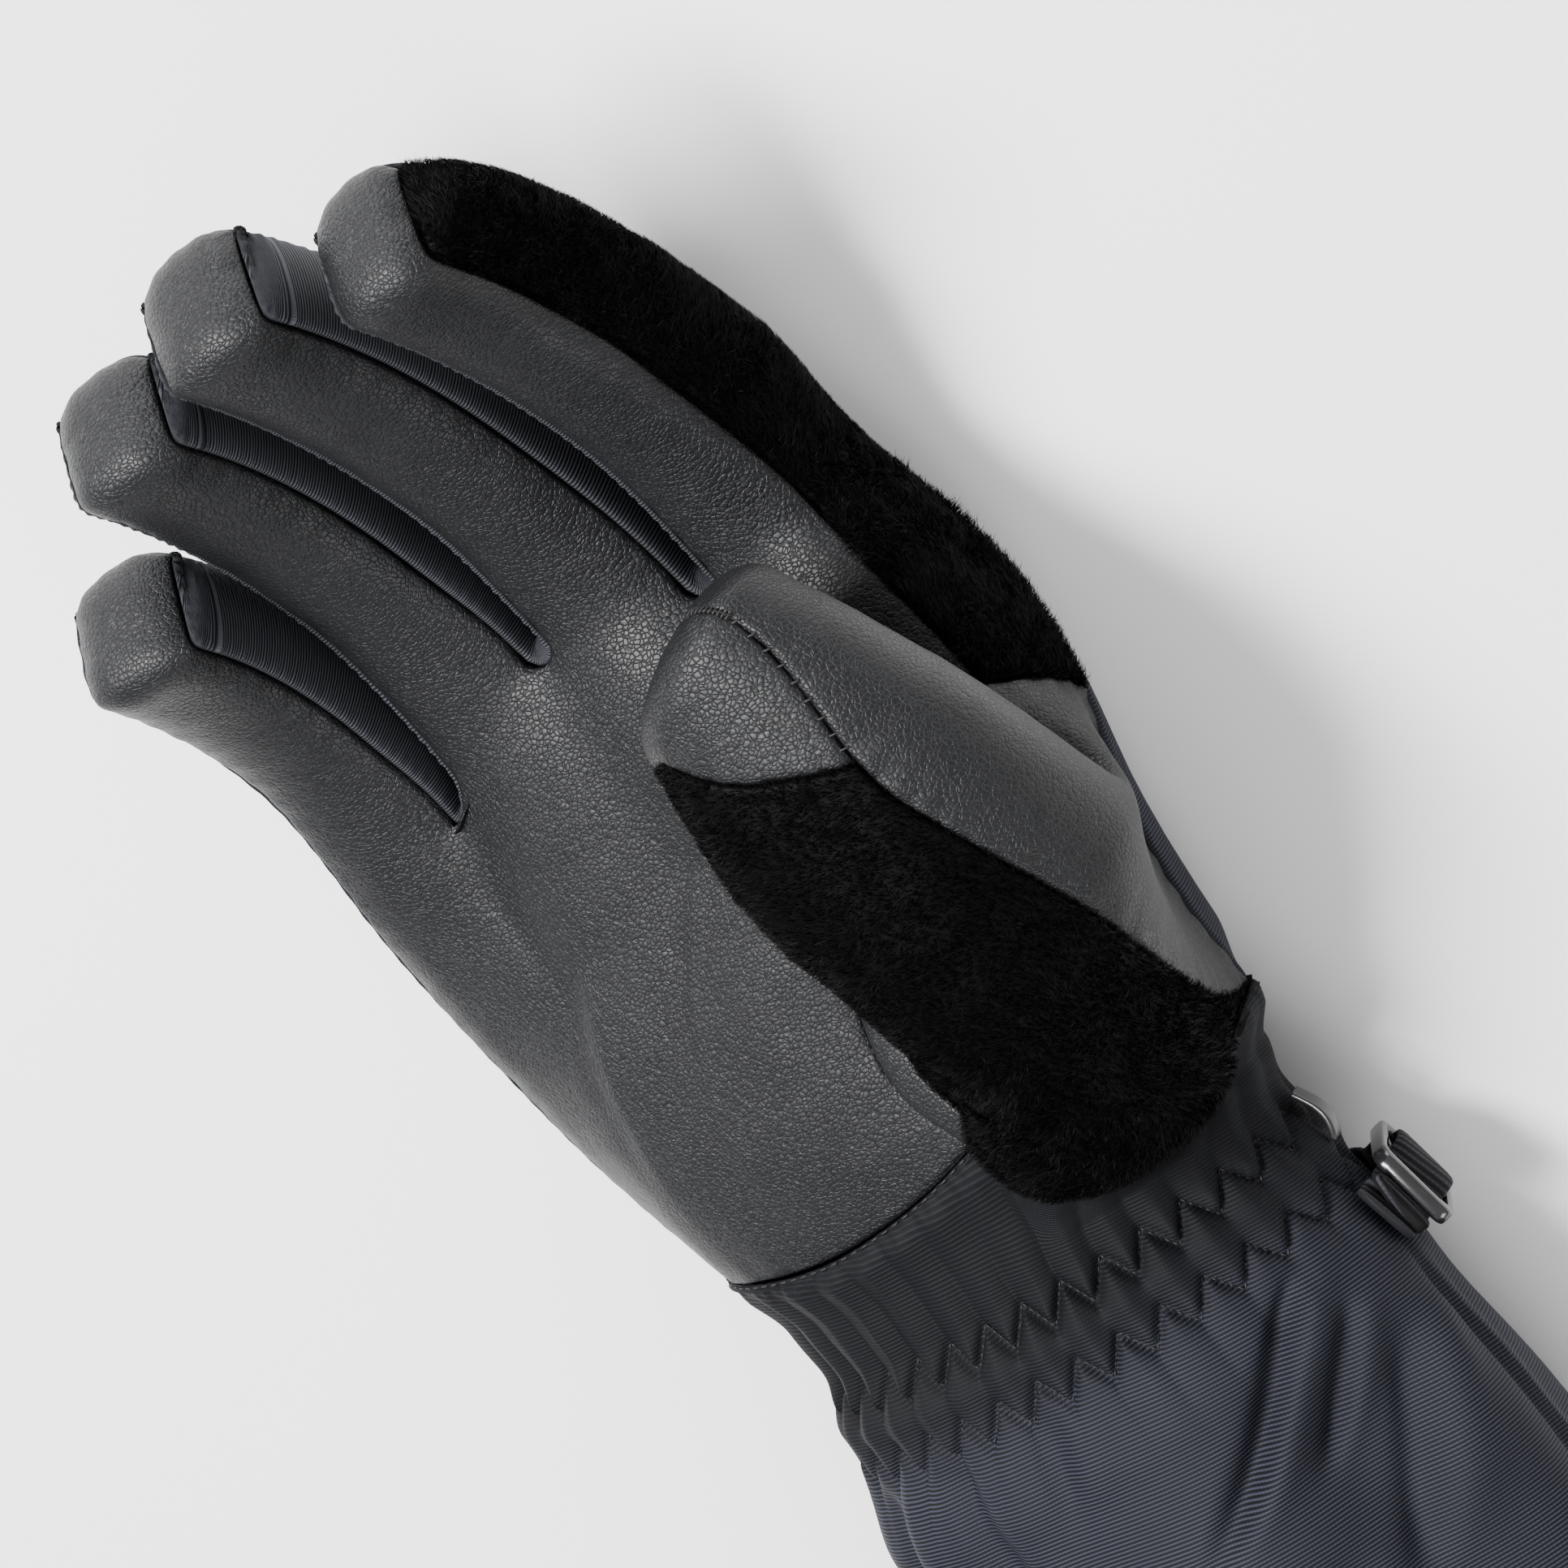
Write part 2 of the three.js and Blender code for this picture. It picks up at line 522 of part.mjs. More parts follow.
// A closed sheet from one panel of the skin: outer face, inner face and the walls of its edges
function panelGeometry(name, wall, pile) {
  const faces = skin.faces.filter((face) => face.name === name);
  const edges = new Map();
  faces.forEach(({ loop }) => loop.forEach((v, n) => {
    const w = loop[(n + 1) % loop.length];
    if (!edges.delete(w + "/" + v)) edges.set(v + "/" + w, [v, w]);
  }));
  const used = [...new Set(faces.flatMap((face) => face.loop))];
  const inward = new Map();
  edges.forEach(([v, w]) => {
    const tangent = unit(sub(skin.points[w], skin.points[v]));
    [v, w].forEach((p) => {
      const turn = unit(cross(outward[p], tangent));
      inward.set(p, [...(inward.get(p) || []), turn]);
    });
  });
  const positions = [];
  const place = new Map();
  used.forEach((v) => {
    const turns = inward.get(v);
    let base = skin.points[v];
    if (turns) {
      const mean = unit(turns.reduce(add));
      base = along(base, [mean, seamGap / 2 / Math.max(0.5, dot(mean, turns[0]))]);
    }
    place.set(v, positions.length / 3);
    const [x, y, z] = along(base, [outward[v], turns ? pile * edgePile : pile]);
    positions.push(x, y, Math.max(0, z), ...along(base, [outward[v], -wall]));
  });
  const triangles = [];
  const top = (v) => place.get(v);
  const low = (v) => place.get(v) + 1;
  const fan = (corners) => range(corners.length - 2).forEach((n) =>
    triangles.push(corners[0], corners[n + 1], corners[n + 2]));
  faces.forEach(({ loop }) => {
    fan(loop.map(top));
    fan(loop.map(low).reverse());
  });
  edges.forEach(([v, w]) => fan(v < w ? [top(w), top(v), low(v), low(w)] : [top(v), low(v), low(w), top(w)]));
  const geometry = new THREE.BufferGeometry();
  geometry.setAttribute("position", new THREE.Float32BufferAttribute(positions, 3));
  geometry.setIndex(triangles);
  geometry.computeVertexNormals();
  return geometry;
}

// Materials
function material(color, roughness, metalness = 0) {
  return new THREE.MeshStandardMaterial({ color, roughness, metalness });
}
const leather = () => material(0x3c3e41, 0.45);
const twill = () => material(0x22252d, 0.8);
const fur = () => material(0x111112, 0.95);

const glove = new THREE.Group();
function addMesh(name, geometry, look) {
  const mesh = new THREE.Mesh(geometry, look);
  mesh.name = name;
  glove.add(mesh);
}
const panels = [
  ["palm_leather", leatherWall, 0, leather()], ["back_fabric", fabricWall, 0, twill()],
  ["ulnar_side", fabricWall, 0, twill()], ["index_fur", furWall, pileHeight, fur()],
  ["fork_ring_little", fabricWall, 0, twill()], ["fork_middle_ring", fabricWall, 0, twill()],
  ["fork_index_middle", fabricWall, 0, twill()], ["thumb_leather", leatherWall, 0, leather()],
  ["thumb_tip", leatherWall, 0, leather()], ["thumb_fur", furWall, pileHeight, fur()],
  ["thumb_gusset", leatherWall, 0, leather()], ["wrist_band", fabricWall, 0, twill()],
  ["cuff", cuffWall, 0, twill()], ["cuff_hem", cuffWall * 1.5, 0, twill()],
];
panels.forEach(([name, wall, pile, look]) => addMesh(name, panelGeometry(name, wall, pile), look));

// A closed bar from loops of corners, one loop after another
function barGeometry(loops) {
  const count = loops[0].length;
  const triangles = [];
  const at = (i, n) => i * count + (n % count);
  range(loops.length - 1).forEach((i) => range(count).forEach((n) => {
    triangles.push(at(i, n), at(i, n + 1), at(i + 1, n + 1), at(i, n), at(i + 1, n + 1), at(i + 1, n));
  }));
  const end = loops.length - 1;
  range(count - 2).forEach((n) => triangles.push(at(0, 0), at(0, n + 2), at(0, n + 1)));
  range(count - 2).forEach((n) => triangles.push(at(end, 0), at(end, n + 1), at(end, n + 2)));
  const geometry = new THREE.BufferGeometry();
  geometry.setAttribute("position", new THREE.Float32BufferAttribute(loops.flat(2), 3));
  geometry.setIndex(triangles);
  geometry.computeVertexNormals();
  return geometry;
}

// A point over the cuff or the wrist band, from its angle, its distance below the wrist seam and its height
function overRing(rings, rows, start, length, degrees, down, out) {
  const share = clamp((down - start) / length, 0, 1);
  const next = rows.findIndex((row) => row >= share);
  const last = next > 0 ? rows[next - 1] : 0;
  const [low, high] = [last, rows[next]].map((row) => {
    const ring = ringPlace(rings, row, [1, 0, 0]);
    const reach = out + gatherDepth + (rings === cuffRings ? foldAt(rad(degrees), row) : 0);
    const x = ring.centre + (ring.wide + reach) * Math.cos(rad(degrees));
    return [x, wristTop - down, ring.middle + (ring.high + reach) * Math.sin(rad(degrees))];
  });
  return mix(low, high, (share - last) / (rows[next] - last));
}
const overCuff = (degrees, down, out) =>
  overRing(cuffRings, cuffRows, wristSpan, cuffLength, degrees, down, out);
const overWrist = (degrees, down, out) =>
  overRing(wristRings, wristRows, 0, wristSpan, degrees, down, out);

// Buckle: a plate with two slots, standing on the strap at the thumb side
const strapDown = wristSpan + strapOffset;
const edges = [strapDown - strapWidth / 2, strapDown + strapWidth / 2];
const seat = seamGap + strapThick / 2;
const buckleEnds = edges.map((down) => overCuff(buckleAngle, down, seat));
const buckleCentre = mix(buckleEnds[0], buckleEnds[1], 0.5);
const buckleRun = unit(sub(buckleEnds[1], buckleEnds[0]));
const [aroundFrom, aroundTo] = [-5, 5].map((turn) => overCuff(buckleAngle + turn, strapDown, seat));
const around = unit(sub(aroundTo, aroundFrom));
const buckleOut = unit(cross(around, buckleRun));
const onBuckle = (u, w, r) => along(buckleCentre, [around, u], [buckleRun, w], [buckleOut, r]);
const slotWidth = (buckleLength - 3 * buckleBar) / 2;
const plateLow = strapThick / 2 + strapClear;

const rectangle = (target, x, y, w, h, r) => {
  target.moveTo(x + r, y);
  target.lineTo(x + w - r, y);
  target.absarc(x + w - r, y + r, r, -Math.PI / 2, 0);
  target.lineTo(x + w, y + h - r);
  target.absarc(x + w - r, y + h - r, r, 0, Math.PI / 2);
  target.lineTo(x + r, y + h);
  target.absarc(x + r, y + h - r, r, Math.PI / 2, Math.PI);
  target.lineTo(x, y + r);
  target.absarc(x + r, y + r, r, Math.PI, 1.5 * Math.PI);
  return target;
};
const [plateX, plateY] = [-buckleLength / 2, -buckleWidth / 2];
const plate = rectangle(new THREE.Shape(), plateX, plateY, buckleLength, buckleWidth, buckleCorner);
[-1, 1].forEach((side) => {
  const slotX = side < 0 ? -buckleBar / 2 - slotWidth : buckleBar / 2;
  const slotY = strapWidth / 2 + strapClear;
  plate.holes.push(rectangle(new THREE.Path(), slotX, -slotY, slotWidth, 2 * slotY, slotCorner));
});
const plateGeometry = new THREE.ExtrudeGeometry(plate, {
  depth: buckleThick, bevelEnabled: false, curveSegments: 4,
});
const plateFrame = new THREE.Matrix4().makeBasis(
  new THREE.Vector3(...around), new THREE.Vector3(...buckleRun), new THREE.Vector3(...buckleOut));
plateFrame.setPosition(...onBuckle(0, 0, plateLow));
plateGeometry.applyMatrix4(plateFrame);
addMesh("strap_buckle", plateGeometry, material(0x2b2c2e, 0.25, 0.2));

// Strap: follows the cuff, then goes under, over and under the buckle's bars
const overBar = plateLow + buckleThick + strapClear + strapThick / 2;
const slotStart = buckleLength / 2 - buckleBar - 2 * strapClear;
const barEdge = buckleBar / 2 + 2 * strapClear;
const threaded = [
  [-buckleLength / 2 - 1, 0], [-slotStart, 0], [-barEdge, overBar], [barEdge, overBar], [slotStart, 0],
  [buckleLength / 2 + 1, 0],
];
const strapLine = (w, down) => [
  ...spread([[strapLow, 0, 0], [buckleAngle - 16, 0, 0]], 3).map(([degrees]) => overCuff(degrees, down, seat)),
  ...threaded.map(([u, r]) => onBuckle(u, w, r)),
  ...spread([[buckleAngle + 16, 0, 0], [strapHigh, 0, 0]], 2).map(([degrees]) => overCuff(degrees, down, seat)),
];
const nearLine = strapLine(-strapWidth / 2, edges[0]);
const farLine = strapLine(strapWidth / 2, edges[1]);
function lineNormal(line, i) {
  const steps = line.slice(1).map((p, n) => unit(sub(p, line[n])));
  const before = steps[Math.max(0, i - 1)];
  const after = steps[Math.min(steps.length - 1, i)];
  const run = unit(add(before, after));
  return mul(unit(cross(run, buckleRun)), strapThick / 2 / Math.max(0.6, dot(run, before)));
}
const strapLoops = nearLine.map((near, i) => {
  const up = lineNormal(nearLine, i);
  return [add(near, up), sub(near, up), sub(farLine[i], up), add(farLine[i], up)];
});
addMesh("wrist_strap", barGeometry(strapLoops), material(0x15161a, 0.8));

// Small loop that bridges the narrow of the wrist on the thumb side
const loopRun = range(7).map((n) => n / 6);
const loopHeight = loopThick / 2 - 0.1 * gatherDepth;
const loopLoops = loopRun.map((t) => {
  const low = overWrist(loopAngle, loopFrom, loopHeight);
  const high = overWrist(loopAngle, loopFrom + loopLength, loopHeight);
  const base = add(mix(low, high, t), [loopRise * Math.sin(Math.PI * t), 0, 0]);
  const corners = [[-1, -1], [1, -1], [1, 1], [-1, 1]];
  return corners.map(([a, b]) => add(base, [(a * loopThick) / 2, 0, (b * loopWidth) / 2]));
});
addMesh("wrist_loop", barGeometry(loopLoops), material(0x1b1c20, 0.35));

// The origin is under the middle of the whole glove, on the surface that it lies on
const reach = new THREE.Box3().setFromObject(glove);
const middle = reach.getCenter(new THREE.Vector3());
glove.position.set(-middle.x, -middle.y, -reach.min.z);
const group = new THREE.Group();
group.add(glove);

export default group;
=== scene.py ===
"""Dresses the frame of a right-hand winter glove: leather, twill, fur, stitches, strap and buckle."""
import math

import bpy
import numpy as np
from bpy.props import FloatProperty, FloatVectorProperty, IntProperty, PointerProperty
from mathutils import Matrix, Vector


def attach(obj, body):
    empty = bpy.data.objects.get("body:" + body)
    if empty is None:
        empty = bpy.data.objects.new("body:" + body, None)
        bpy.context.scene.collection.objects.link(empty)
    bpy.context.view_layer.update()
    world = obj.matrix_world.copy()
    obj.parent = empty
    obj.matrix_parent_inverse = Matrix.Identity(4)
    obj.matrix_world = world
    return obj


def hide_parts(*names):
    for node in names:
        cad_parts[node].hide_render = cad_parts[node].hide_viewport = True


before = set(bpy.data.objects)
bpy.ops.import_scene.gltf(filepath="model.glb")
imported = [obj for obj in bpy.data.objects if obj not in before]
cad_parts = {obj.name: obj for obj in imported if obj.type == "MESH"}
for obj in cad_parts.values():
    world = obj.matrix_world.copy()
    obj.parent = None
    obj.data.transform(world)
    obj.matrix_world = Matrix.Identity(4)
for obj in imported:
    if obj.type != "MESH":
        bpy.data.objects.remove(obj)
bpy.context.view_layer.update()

bl_info = {
    "name": "Winter glove",
    "version": (1, 0, 0),
    "blender": (4, 5, 0),
    "location": "View3D > Sidebar > Glove",
    "description": "Builds the leather, twill, fur and trim of a right-hand winter glove",
    "category": "Object",
}

# Millimetres are used throughout; these carry a point into the frame
MM = 0.001
ORIGIN = np.array([6.6491, -25.035, 0.0])
UP = np.array([0.0, 0.0, 1.0])

# The glove's own sizes, as in its solids
HAND_LENGTH, HAND_WIDTH, HAND_THICK = 111.0, 108.0, 46.0
WRIST_LENGTH, CUFF_LENGTH, HEM_DEPTH = 34.0, 84.0, 10.0
FINGER_WIDTH, FINGER_THICK, FINGERTIP = 27.0, 25.5, 9.5
WEB_WIDTH, FRONT_SHARE, ROOT_SHARE = 5.0, 0.8, 0.91
CROWN_DROP, SIDE_BULGE, FUR_BULGE, FUR_ROOT, THUMB_SIDE_BULGE = 3.4, 2.9, 9.5, 0.5, 4.2
CURL_START, CURL_END = 8.0, 53.0
THUMB_WIDTH, THUMB_THICK, THUMB_TIP = 48.0, 33.0, 8.0
FOLD_DEPTH, BACK_FLAT = 3.2, 0.8
STRAP_WIDTH, STRAP_THICK, STRAP_OFFSET, STRAP_CLEAR = 11.0, 1.5, 12.0, 0.32
STRAP_LOW, STRAP_HIGH, BUCKLE_ANGLE = -38.0, 9.0, -12.0
BUCKLE_LENGTH, BUCKLE_WIDTH, BUCKLE_THICK, BUCKLE_BAR = 19.0, 15.0, 3.0, 2.6
LOOP_FROM, LOOP_ANGLE, LOOP_LENGTH, LOOP_RISE, LOOP_THICK, LOOP_WIDTH = 18.0, -2.0, 9.0, 1.6, 1.3, 3.0
GATHER, SEAM_GAP = 0.7, 0.36
LEATHER_WALL, FUR_WALL, GUSSET_WALL, BACK_WALL, SIDE_WALL, HEM_WALL = 1.6, 1.6, 1.4, 1.3, 1.2, 2.2
RIB_SLOPE = math.radians(-7)
PALM_ROWS, FORK_ROW, FINGER_ROWS, CAP_ROWS = 8, 5, 7, 3
TIP_ROW = FINGER_ROWS + CAP_ROWS

FINGERS = [
    dict(root=0.73, high=0.47, slant=0.025, turn=3.5, length=0.56, size=1.0, thumb_side=1.0),
    dict(root=0.835, high=0.5, slant=0.045, turn=-0.5, length=0.71, size=0.98, thumb_side=1.0),
    dict(root=0.86, high=0.51, slant=-0.025, turn=-2.5, length=0.755, size=1.0, thumb_side=1.0),
    dict(root=0.82, high=0.5, slant=0.0, turn=-2.5, length=0.73, size=1.0, thumb_side=0.76),
]
FIRST_FORK = 0.14 * HAND_WIDTH
FORK_ROUND, FORK_TONGUE = 1.9, 3.0
TIP_SEAM, TIP_SQUARE = math.radians(152), 0.54

# Seam points as shares of the hand's width, length and thickness
PALM_WRIST = [(-0.555, -0.02, 0.62), (-0.47, -0.03, 0.86), (-0.29, -0.05, 1.0), (-0.1, -0.035, 1.06),
              (0.037, -0.004, 1.08)]
PALM_ULNAR = [(-0.555, -0.02, 0.62), (-0.615, 0.2, 0.62), (-0.655, 0.42, 0.6), (-0.675, 0.6, 0.6)]
THUMB_SEAM = [(0.037, -0.004, 1.08), (-0.01, 0.1, 1.06), (0.0, 0.22, 1.02), (0.08, 0.35, 0.97),
              (0.25, 0.46, 0.91), (0.44, 0.51, 0.86)]
INDEX_EDGE = [(0.42, 0.62, 0.84), (0.395, 0.73, 0.81)]
BACK_ULNAR = [(-0.52, -0.05, 0.3), (-0.59, 0.2, 0.28), (-0.635, 0.42, 0.26), (-0.66, 0.6, 0.24)]
BACK_WRIST = [(-0.52, -0.05, 0.3), (-0.36, -0.07, 0.04), (-0.1, -0.08, -0.04), (0.2, -0.08, 0.0),
              (0.395, -0.065, 0.42)]
BACK_RADIAL = [(0.395, -0.065, 0.42), (0.405, 0.08, 0.5), (0.425, 0.24, 0.5), (0.462, 0.4, 0.4)]
INDEX_BACK_EDGE = [(0.46, 0.55, 0.32), (0.43, 0.7, 0.28)]
WRIST_THUMB = [(0.037, -0.004, 1.08), (0.085, -0.11, 1.09), (0.185, -0.15, 1.06), (0.29, -0.15, 1.01),
               (0.38, -0.125, 0.9), (0.4, -0.08, 0.7), (0.395, -0.065, 0.42)]

# Thumb sections: centre, turn, rise, roll, half sizes
THUMB_AT = [(0.35, 0.24, 1.24), (0.325, 0.4, 1.34), (0.285, 0.535, 1.375), (0.256, 0.66, 1.38),
            (0.245, 0.745, 1.38)]
THUMB_TURN = [8, 18, 25, 28, 28]
THUMB_RISE = [26, 14, 5, 0, -2]
THUMB_ROLL = [26, 15, 7, 2, 0]
THUMB_WIDE = [0.53, 0.52, 0.52, 0.48, 0.375]
THUMB_HIGH = [0.5, 0.48, 0.45, 0.42, 0.38]
SEAM_ANGLE, TIP_SEAM_ANGLE, HIDDEN_SEAM_ANGLE, TIP_SKEW, TIP_FROM = 72.0, 42.0, -50.0, 0.33, 0.8

# Cells across a finger, and from one finger to the next
FINGER_CELLS, PITCH_CELLS = 4, 5
# Cells round the wrist seam and the thumb's opening: across the palm or back, along the thumb's part of
# the wrist, and through a side wall
HAND_CELLS, WRIST_CELLS, WALL_CELLS = 3 * PITCH_CELLS + FINGER_CELLS, 11, 3
SEAM_CELLS = 2 * HAND_CELLS + WRIST_CELLS + WALL_CELLS
LEATHER_CELLS = WALL_CELLS + FORK_ROW
PALM_CELL = LEATHER_CELLS + WRIST_CELLS
GUSSET_CELL = PALM_CELL + WALL_CELLS
THUMB_CELLS = PALM_CELL + FORK_ROW

# Wrist and cuff rings: distance below the seam as a share, half width, top and centre
WRIST_RINGS = np.array([(0.0, 0.49, 1.12, -0.065), (0.35, 0.445, 1.1, -0.075), (0.62, 0.43, 1.1, -0.08),
                        (1.0, 0.455, 1.17, -0.085)])
CUFF_RINGS = np.array([(0.0, 0.455, 1.17, -0.085), (0.25, 0.5, 1.3, -0.09), (0.6, 0.545, 1.46, -0.1),
                       (1.0, 0.58, 1.58, -0.11)])
# Long folds of the cuff: angle, width, height, start
FOLDS = [(20, 12, 1.0, 0.0), (47, 10, -0.9, 0.1), (72, 13, 0.8, 0.05), (100, 12, -0.6, 0.2),
         (128, 14, 0.7, 0.1), (160, 14, -0.5, 0.2)]
SEAM_DIP = 0.06 * HAND_LENGTH
WRIST_TOP = -SEAM_DIP
WRIST_SPAN = WRIST_LENGTH - SEAM_DIP


# Small maths on arrays
def lerp(a, b, t):
    return a + (b - a) * t


def mix(a, b, t):
    """Point a when t is 0, point b when it is 1."""
    t = np.asarray(t, float)[..., None]
    return a * (1 - t) + b * t


def smooth(x):
    """Eased step from 0 to 1."""
    x = np.clip(x, 0, 1)
    return x * x * (3 - 2 * x)


def unit(v):
    return v / np.maximum(np.linalg.norm(v, axis=-1, keepdims=True), 1e-12)


def signed_power(x, p):
    return np.sign(x) * np.abs(x) ** p


def hand_points(shares):
    return np.array(shares, float) * (HAND_WIDTH, HAND_LENGTH, HAND_THICK)


def hashed(cells, seed):
    """A fixed number from 0 to 1 for each whole-number cell."""
    x = cells[..., 0] * 127.1 + cells[..., 1] * 311.7 + cells[..., 2] * 74.7 + seed * 53.3
    x = np.sin(x) * 43758.5453
    return x - np.floor(x)


def noise(p, size, seed=0):
    """Soft noise from -1 to 1: the corner values of cubes of that size, blended with eased shares."""
    q = np.asarray(p, float) / size
    base = np.floor(q)
    f = smooth(q - base)
    total = 0
    for corner in np.ndindex(2, 2, 2):
        weight = np.prod(np.where(corner, f, 1 - f), axis=-1)
        total = total + weight * hashed(base + corner, seed)
    return 2 * total - 1


def spline(points):
    """Smooth centripetal curve through the points, read by its share of length."""
    p = np.asarray(points, float)
    ends = np.vstack([2 * p[0] - p[1], p, 2 * p[-1] - p[-2]])
    t = np.linspace(0, 1, 61)[:, None]
    parts = []
    for a, b, c, d in zip(ends, ends[1:], ends[2:], ends[3:]):
        ab, bc, cd = (np.sum((e - s) ** 2) ** 0.25 for s, e in ((a, b), (b, c), (c, d)))
        start = ((b - a) / ab - (c - a) / (ab + bc) + (c - b) / bc) * bc
        end = ((c - b) / bc - (d - b) / (bc + cd) + (d - c) / cd) * bc
        parts.append(b + start * t + (3 * (c - b) - 2 * start - end) * t ** 2 + (2 * (b - c) + start + end) * t ** 3)
    line = np.vstack([parts[0]] + [part[1:] for part in parts[1:]])
    length = np.concatenate([[0], np.cumsum(np.linalg.norm(np.diff(line, axis=0), axis=1))])

    def at(share):
        s = np.clip(share, 0, 1) * length[-1]
        return np.stack([np.interp(s, length, line[:, k]) for k in range(3)], -1)
    return at


def marks(length, step, start=True, end=True):
    """Shares from 0 to 1 a step apart, closer together next to a seam."""
    close = np.array([0.28, 0.6, 1.0, 1.5, 2.2])
    low = np.concatenate([[0], close]) if start else np.array([0.0])
    high = np.concatenate([[0], close]) if end else np.array([0.0])
    inner = length - low[-1] - high[-1]
    count = max(1, int(round(inner / step)))
    middle = low[-1] + inner * np.arange(1, count) / count
    return np.concatenate([low, middle, (length - high)[::-1]]) / length


# Fingers
def root_width(finger):
    return FINGER_WIDTH * finger["size"] * ROOT_SHARE


for k, finger in enumerate(FINGERS):
    between = sum(root_width(f) + WEB_WIDTH for f in FINGERS[k + 1:3])
    half = (WEB_WIDTH + root_width(finger)) / 2
    finger["across"] = FIRST_FORK + (half if k == 3 else -between - half)
    plan = np.array([math.sin(math.radians(finger["turn"])), math.cos(math.radians(finger["turn"])), 0])
    finger["plan"] = plan
    finger["side"] = np.array([plan[1], -plan[0], 0])


def finger_frame(finger, t):
    """Middle line: an arc in the upright plane of the finger, whose slope grows with t."""
    length = finger["length"] * HAND_LENGTH
    a0, bend = math.radians(CURL_START), math.radians(CURL_END - CURL_START)
    a = a0 + bend * np.asarray(t, float)
    forward = (length / bend) * (np.sin(a) - math.sin(a0))
    rise = (length / bend) * (math.cos(a0) - np.cos(a))
    root = np.array([finger["across"], finger["root"] * HAND_LENGTH, finger["high"] * HAND_THICK])
    centre = root + finger["plan"] * forward[..., None] + UP * rise[..., None]
    ahead = finger["plan"] * np.cos(a)[..., None] + UP * np.sin(a)[..., None]
    palmar = -finger["plan"] * np.sin(a)[..., None] + UP * np.cos(a)[..., None]
    return centre, ahead, palmar


def finger_outline(finger, row, face):
    """Point of the outline: the middle line plus half the thickness, closed by a squared round cap."""
    row = np.asarray(row, float)
    t = np.minimum(row / FINGER_ROWS, 1)
    centre, ahead, palmar = finger_frame(finger, t)
    half = FINGER_THICK / 2 * finger["size"] * lerp(1.06, 0.9, t)
    turn = np.maximum(0, row - FINGER_ROWS) / CAP_ROWS
    angle = TIP_SEAM * turn if face > 0 else math.pi - (math.pi - TIP_SEAM) * turn
    up = signed_power(np.cos(angle), TIP_SQUARE) * half
    out = signed_power(np.sin(angle), TIP_SQUARE) * FINGERTIP
    place = centre + palmar * up[..., None] + ahead * out[..., None]
    normal = unit(palmar * np.cos(angle)[..., None] + ahead * np.sin(angle)[..., None])
    return place, normal, ahead, t + turn


def finger_strip(finger, row, face, q):
    """Front or back of a finger: the outline, spread sideways by q and lowered by a power of q."""
    row, q = np.broadcast_arrays(np.asarray(row, float), np.asarray(q, float))
    place, normal, ahead, t = finger_outline(finger, row, face)
    fade = 1 - smooth(row / 3)
    share = lerp(FRONT_SHARE * lerp(1, 0.96, np.minimum(t, 1)), ROOT_SHARE, fade)
    side = finger["thumb_side"] if face > 0 else lerp(finger["thumb_side"], 1, 0.6 * np.clip(2 - t, 0, 1))
    edge = FINGER_WIDTH / 2 * finger["size"] * share * np.where(q > 0, side, 1.0)
    drop = CROWN_DROP * np.abs(q) ** 3.2
    slant = finger["slant"] * HAND_LENGTH * q * fade
    return place + finger["side"] * (edge * q)[..., None] - normal * drop[..., None] + ahead * slant[..., None]


def finger_wall(finger, row, side, k, bulge, root_bulge, power=1.0):
    """Side wall: straight from the front's edge to the back's, pushed out by a power of a parabola in k."""
    row, k = np.broadcast_arrays(np.asarray(row, float), np.asarray(k, float))
    front = finger_strip(finger, row, 1, side)
    back = finger_strip(finger, row, -1, side)
    t = row / TIP_ROW
    grow = lerp(root_bulge, 1, smooth(row / 2.5)) * (1 - smooth((t - 0.62) / 0.38))
    return mix(front, back, k) + finger["side"] * (side * bulge * grow * (4 * k * (1 - k)) ** power)[..., None]


# Palm and back of the hand
def finger_roots(face, column):
    """Edge where the fingers start: each finger's strip at row 0, straight between two fingers."""
    k = np.clip(np.floor(column / PITCH_CELLS).astype(int), 0, 3)
    n = column - PITCH_CELLS * k
    q = 2 * np.clip(n, 0, FINGER_CELLS) / FINGER_CELLS - 1
    place = np.zeros(column.shape + (3,))
    crest = np.zeros(column.shape)
    for i, finger in enumerate(FINGERS):
        here = k == i
        nxt = FINGERS[min(i + 1, 3)]
        own = finger_strip(finger, 0, face, q)
        web = np.clip(n - FINGER_CELLS, 0, 1)
        own = mix(own, np.broadcast_to(finger_strip(nxt, 0, face, -1.0), own.shape), web)
        own = own - nxt["plan"] * (FORK_ROUND * (face > 0) * (4 * web * (1 - web)) ** 0.7)[..., None]
        top = lerp(finger_outline(finger, 0, face)[0][2], finger_outline(nxt, 0, face)[0][2], web)
        place[here] = own[here]
        crest[here] = (own[..., 2] - top)[here]
    return place, crest


def side_edge(lower, upper, last):
    """Edge that turns a corner where the thumb opening ends, by its palm row."""
    low = spline(hand_points(lower))
    high = spline(np.vstack([low(1.0)[None], hand_points(upper), last[None]]))

    def at(row):
        row = np.asarray(row, float)
        first = low(np.minimum(row, FORK_ROW) / FORK_ROW)
        second = high(np.maximum(row - FORK_ROW, 0) / (PALM_ROWS - FORK_ROW))
        return np.where((row <= FORK_ROW)[..., None], first, second)
    return at


